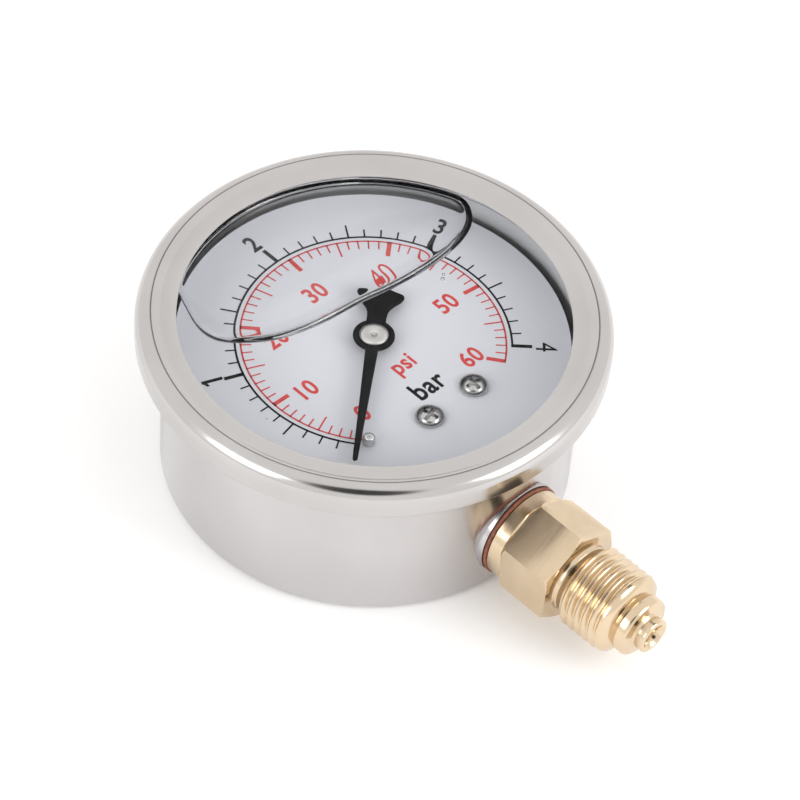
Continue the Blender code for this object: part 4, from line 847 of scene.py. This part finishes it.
# the thread's rows follow the helix, and flatten into the plain stem at both ends
def threadShell():
    work = bmesh.new()
    n, pitch = stem["columns"], stem["pitch"]
    start, end = stem["threadStart"] - 0.6, stem["threadEnd"] + 0.2
    shape = ((0.00, 0.0), (0.07, 0.02), (0.14, 0.12), (0.36, 0.82), (0.42, 0.95), (0.50, 1.0), (0.58, 0.95),
             (0.64, 0.82), (0.86, 0.12), (0.93, 0.02))

    def radiusAt(distance, height):
        run = min(1.0, max(0.0, (distance - stem["threadStart"] + 0.4) / 0.5))
        out = min(1.0, max(0.0, (stem["threadEnd"] + 0.3 - distance) / 0.4))
        low = stem["undercut"] + (stem["root"] - stem["undercut"]) * min(1.0,
                                                                         max(0.0, (distance - start) / 0.5))
        return low + (stem["crest"] - stem["root"]) * height * min(run, out)

    rows = []
    turns = int((end - start) / pitch) + 2
    for k in range(-1, turns + 1):
        for phase, height in shape:
            row = []
            for i in range(n):
                distance = min(end, max(start, start + (k + phase + i / n) * pitch))
                radius = radiusAt(distance, height)
                angle = math.tau * i / n
                row.append(work.verts.new((radius * mm * math.cos(angle), radius * mm * math.sin(angle),
                                           distance * mm)))
            rows.append(row)
    per = len(shape)
    for a in range(len(rows) - 1):
        for i in range(n):
            j = i + 1
            if j < n:
                work.faces.new((rows[a][i], rows[a][j], rows[a + 1][j], rows[a + 1][i]))
            elif a + per + 1 < len(rows):
                work.faces.new((rows[a][i], rows[a + per][0], rows[a + per + 1][0], rows[a + 1][i]))
    # the first turn's leading edge and the last turn's trailing edge lie in the end planes
    bmesh.ops.remove_doubles(work, verts=work.verts, dist=0.0000004)
    bmesh.ops.dissolve_degenerate(work, dist=0.0000004, edges=work.edges)
    rims = [e for e in work.edges if e.is_boundary]
    bmesh.ops.holes_fill(work, edges=rims, sides=0)
    return meshFrom("thread", work, 40, alongStem)


def makeStem():
    corner = stem["flats"] / 2 / math.cos(math.pi / 6)
    chamfer = (corner - stem["flats"] / 2) * 0.9
    rise = chamfer * math.tan(math.radians(30))
    blank = lathe("hexBlank", [(0, stem["hexStart"]), (corner - chamfer * 0.55, stem["hexStart"]),
                               (corner + 0.01, stem["hexStart"] + rise),
                               (corner + 0.01, stem["hexEnd"] - rise),
                               (corner - chamfer, stem["hexEnd"]), (0, stem["hexEnd"])], 144, closed=False,
                  place=alongStem)
    prism = rodMesh("prism", corner, stem["hexStart"] - 1, stem["hexEnd"] + 1, 6, place=alongStem)
    rear = lathe("rear", [(0, stem["neckEnd"]), (stem["neck"] - 0.3, stem["neckEnd"]),
                          (stem["neck"], stem["neckEnd"] + 0.3), (stem["neck"], stem["collarStart"]),
                          (stem["collar"] - 0.12, stem["collarStart"]),
                          (stem["collar"], stem["collarStart"] + 0.12),
                          (stem["collar"], stem["hexStart"] - 0.25),
                          (stem["collar"] - 0.35, stem["hexStart"] + 0.05),
                          (6.6, stem["hexStart"] + 0.3), (0, stem["hexStart"] + 0.3)], 144, closed=False,
                 place=alongStem)
    front = lathe("front", [(0, stem["hexEnd"] - 0.5), (stem["undercut"] + 0.5, stem["hexEnd"] - 0.5),
                            (stem["undercut"] + 0.5, stem["hexEnd"]),
                            (stem["undercut"] + 0.15, stem["hexEnd"] + 0.12),
                            (stem["undercut"], stem["hexEnd"] + 0.5),
                            (stem["undercut"], stem["threadStart"] - 0.4),
                            (0, stem["threadStart"] - 0.4)], 96, closed=False, place=alongStem)
    tail, low, nose = stem["spigotEnd"], stem["spigotStart"], stem["noseEnd"]
    tip = lathe("tip", [(0, stem["threadEnd"] - 0.6), (5.3, stem["threadEnd"] - 0.6),
                        (stem["endLand"], stem["threadEnd"] + 0.1),
                        (stem["endLand"], stem["threadEnd"] + 0.45), (6.24, stem["threadEnd"] + 0.62),
                        (5.1, low - 0.75),
                        (4.5, low - 0.6), (stem["valley"], low - 0.35), (stem["valley"] + 0.08, low - 0.15),
                        (stem["spigot"] - 0.15, low + 0.05), (stem["spigot"], low + 0.25),
                        (stem["spigot"], tail - 0.45), (stem["spigot"] - 0.12, tail - 0.2),
                        (stem["spigot"] - 0.42, tail), (3.5, tail + 0.02), (3.0, tail + 0.18),
                        (stem["nose"] - 0.05, tail + 0.55), (stem["nose"] - 0.05, nose - 0.7),
                        (stem["nose"], nose - 0.5), (stem["nose"], nose - 0.2),
                        (stem["nose"] - 0.12, nose - 0.05),
                        (stem["nose"] - 0.25, nose), (stem["mouth"] + 0.1, nose),
                        (stem["mouth"], nose - 0.06),
                        (stem["bore"], nose - 0.9), (stem["bore"] - 0.1, nose - stem["boreDepth"]),
                        (0, nose - stem["boreDepth"] - 0.5)], 128, closed=False, degrees=40,
                place=alongStem)
    thread = threadShell()
    mesh = carved("stemFitting", blank, [("INTERSECT", prism), ("UNION", rear), ("UNION", front),
                                         ("UNION", thread),
                                         ("UNION", tip)], degrees=32)
    setInFrame(addPiece("stemFitting", mesh, finishes["brassTurned"]), "housing", "brass", "stem")


makeStem()
washer = {"inner": 5.1, "outer": 7.5, "start": 31.4, "end": 31.9, "edge": 0.1}


def makeWasher():
    e = washer["edge"]
    section = [(washer["inner"], washer["start"]), (washer["outer"] - e, washer["start"]),
               (washer["outer"], washer["start"] + e), (washer["outer"], washer["end"] - e),
               (washer["outer"] - e, washer["end"]), (washer["inner"], washer["end"])]
    mesh = lathe("sealWasher", section, 128, place=alongStem)
    setInFrame(addPiece("sealWasher", mesh, finishes["fibreRed"]), "housing", "fibre", "stem_washer")


makeWasher()
print("stem and washer made")

# filling plug, opposite the stem
plug = {"radius": 3.6, "flange": 5.2, "start": 31.3, "inner": 29.0, "thick": 1.5, "height": 14.0}


def makePlug():
    place = Matrix.Translation((0, 0, plug["height"] * mm)) @ Matrix.Rotation(-math.pi / 2, 4, "X")
    s, t, f = plug["start"], plug["thick"], plug["flange"]
    section = [(0, plug["inner"]), (plug["radius"] - 0.6, plug["inner"]),
               (plug["radius"], plug["inner"] + 0.6),
               (plug["radius"], s), (f - 0.1, s), (f, s + 0.1), (f, s + t - 0.6), (f - 0.2, s + t - 0.2),
               (f - 0.7, s + t), (2.4, s + t), (2.2, s + t - 0.12), (1.9, s + t - 0.5), (1.0, s + t - 0.5),
               (0.8, s + t - 0.4), (0.5, s + t - 0.15), (0, s + t - 0.12)]
    mesh = lathe("fillPlug", section, 96, closed=False, degrees=40, place=place)
    setInFrame(addPiece("fillPlug", mesh, finishes["rubberBlack"]), "housing", "rubber", "fill_plug")


makePlug()

# pressure tube: a flattened hollow tube swept round an arc
tube = {"path": 23.0, "z": 8.4, "halfWidth": 1.25, "halfHeight": 3.0, "wall": 0.35, "fixed": 256.0,
        "free": -5.0,
        "steps": 96, "sides": 28}


def makeTube():
    work = bmesh.new()
    shells = []
    for inset in (0.0, tube["wall"]):
        rows = []
        for k in range(tube["steps"] + 1):
            angle = math.radians(tube["fixed"] + (tube["free"] - tube["fixed"]) * k / tube["steps"])
            row = []
            for i in range(tube["sides"]):
                turn = math.tau * i / tube["sides"]
                r = tube["path"] + (tube["halfWidth"] - inset) * math.cos(turn)
                z = tube["z"] + (tube["halfHeight"] - inset) * math.sin(turn)
                row.append(work.verts.new((r * mm * math.cos(angle), r * mm * math.sin(angle), z * mm)))
            rows.append(row)
        shells.append(rows)
    n = tube["sides"]
    for rows in shells:
        for a, b in zip(rows, rows[1:]):
            for i in range(n):
                work.faces.new((a[i], a[(i + 1) % n], b[(i + 1) % n], b[i]))
    for end in (0, -1):
        a, b = shells[0][end], shells[1][end]
        for i in range(n):
            work.faces.new((a[i], a[(i + 1) % n], b[(i + 1) % n], b[i]))
    piece = addPiece("pressureTube", meshFrom("pressureTube", work, 40), finishes["bronzeDrawn"])
    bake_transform(piece)
    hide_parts("bourdon_tube")


makeTube()

# the other CAD pieces keep their shapes and take node materials
slotFinish = {"rubber": "rubberBlack", "brass": "brassSheet", "bronze": "bronzeDrawn",
              "zinc_steel": "zincBright",
              "stainless": "caseSteel", "fibre": "fibreRed"}
slotOf = {row["node"]: row["material_slot"] for row in frame["record"]["subparts"]}
for name, node in frame["nodes"].items():
    if not node.hide_render:
        for materialSlot in node.material_slots:
            materialSlot.material = finishes[slotFinish[slotOf[name]]]
print("movement dressed")

# floor, light and camera
studio = {"floorSize": 6.0, "floorTones": ((0.94, 0.94, 0.94), (0.95, 0.95, 0.95)),
          "dome": 1.08, "domeColour": (1.0, 0.993, 0.985), "floorGlow": 0.10,
          "lampTarget": (0, -0.01, 0.015),
          # each flag: the way it lies, its inner and outer angle, and how much light it lets by
          "flags": (((0.50, 0.444, 0.744), 6.0, 10.0, 0.15), ((-0.50, -0.444, 0.744), 15.0, 22.0, 0.04))}


def makeFloor():
    work = bmesh.new()
    bmesh.ops.create_grid(work, x_segments=2, y_segments=2, size=studio["floorSize"] / 2)
    mesh = meshFrom("studioFloor", work)
    paper = makeFinish("paperWhite", {"tones": studio["floorTones"], "rough": (0.7, 0.8), "cloudScale": 3,
                                      "grainScale": 900, "bump": 0.02, "depth": 0.00002})
    paper.node_tree.nodes["Principled BSDF"].inputs["Emission Color"].default_value = (1.0, 1.0, 1.0, 1.0)
    paper.node_tree.nodes["Principled BSDF"].inputs["Emission Strength"].default_value = studio["floorGlow"]
    floor = addPiece("studioFloor", mesh, paper)


makeFloor()


def makeDome():
    world = bpy.data.worlds.new("studioDome")
    bpy.context.scene.world = world
    world.use_nodes = True
    tree = world.node_tree
    tree.nodes["Background"].inputs["Color"].default_value = (*studio["domeColour"], 1.0)
    # soft dark flags: one keeps the window's reflection off the dial, one is the shade round the camera
    ways = addNode(tree, "ShaderNodeTexCoord").outputs["Generated"]
    strength = None
    for toward, inner, outer, tone in studio["flags"]:
        near = addNode(tree, "ShaderNodeVectorMath", operation="DOT_PRODUCT")
        near.inputs[1].default_value = Vector(toward).normalized()
        tree.links.new(ways, near.inputs[0])
        flag = addNode(tree, "ShaderNodeMapRange", interpolation_type="SMOOTHSTEP",
                       in_From_Min=math.cos(math.radians(outer)), in_From_Max=math.cos(math.radians(inner)),
                       in_To_Min=1.0, in_To_Max=tone)
        tree.links.new(near.outputs["Value"], flag.inputs["Value"])
        product = addNode(tree, "ShaderNodeMath", operation="MULTIPLY")
        product.inputs[1].default_value = studio["dome"]
        tree.links.new(flag.outputs["Result"], product.inputs[0])
        if strength is not None:
            tree.links.new(strength, product.inputs[1])
        strength = product.outputs[0]
    tree.links.new(strength, tree.nodes["Background"].inputs["Strength"])


makeDome()
softboxes = (("keyBox", (-0.70, 0.12, 0.42), (0.40, 0.40), 1.5),
             ("fillBox", (0.25, -0.60, 0.39), (0.36, 0.36), 1.8))


def aimed(location, target):
    return (Vector(target) - Vector(location)).to_track_quat("-Z", "Y").to_matrix().to_4x4()


for name, location, size, power in softboxes:
    lamp = bpy.data.lights.new(name, "AREA")
    lamp.shape = "RECTANGLE"
    lamp.size, lamp.size_y = size
    lamp.energy = power
    lampObject = bpy.data.objects.new(name, lamp)
    bpy.context.scene.collection.objects.link(lampObject)
    lampObject.matrix_world = Matrix.Translation(location) @ aimed(location, studio["lampTarget"])

cameraView = {"azimuth": 221.65, "elevation": 48.04, "roll": -4.89, "distance": 515.0,
              "offset": (-5.27, 7.51),
              "lens": 152.4, "sensor": 36.0}


def makeCamera():
    azimuth, elevation = math.radians(cameraView["azimuth"]), math.radians(cameraView["elevation"])
    back = Vector((math.cos(azimuth) * math.cos(elevation), math.sin(azimuth) * math.cos(elevation),
                   math.sin(elevation)))
    right = (-back).cross(Vector((0, 0, 1))).normalized()
    down = (-back).cross(right)
    roll = math.radians(cameraView["roll"])
    side = math.cos(roll) * right + math.sin(roll) * down
    drop = -math.sin(roll) * right + math.cos(roll) * down
    x, y = cameraView["offset"]
    place = (-x * side - y * drop + cameraView["distance"] * back) * mm
    data = bpy.data.cameras.new("studioCamera")
    data.sensor_width = cameraView["sensor"]
    data.lens = cameraView["lens"]
    data.clip_start, data.clip_end = 0.01, 20.0
    camera = bpy.data.objects.new("studioCamera", data)
    bpy.context.scene.collection.objects.link(camera)
    turn = Matrix((side, -drop, back)).transposed().to_4x4()
    camera.matrix_world = Matrix.Translation(place) @ turn
    bpy.context.scene.camera = camera


makeCamera()
bpy.context.scene.view_settings.view_transform = "Standard"
print("floor, light and camera made")
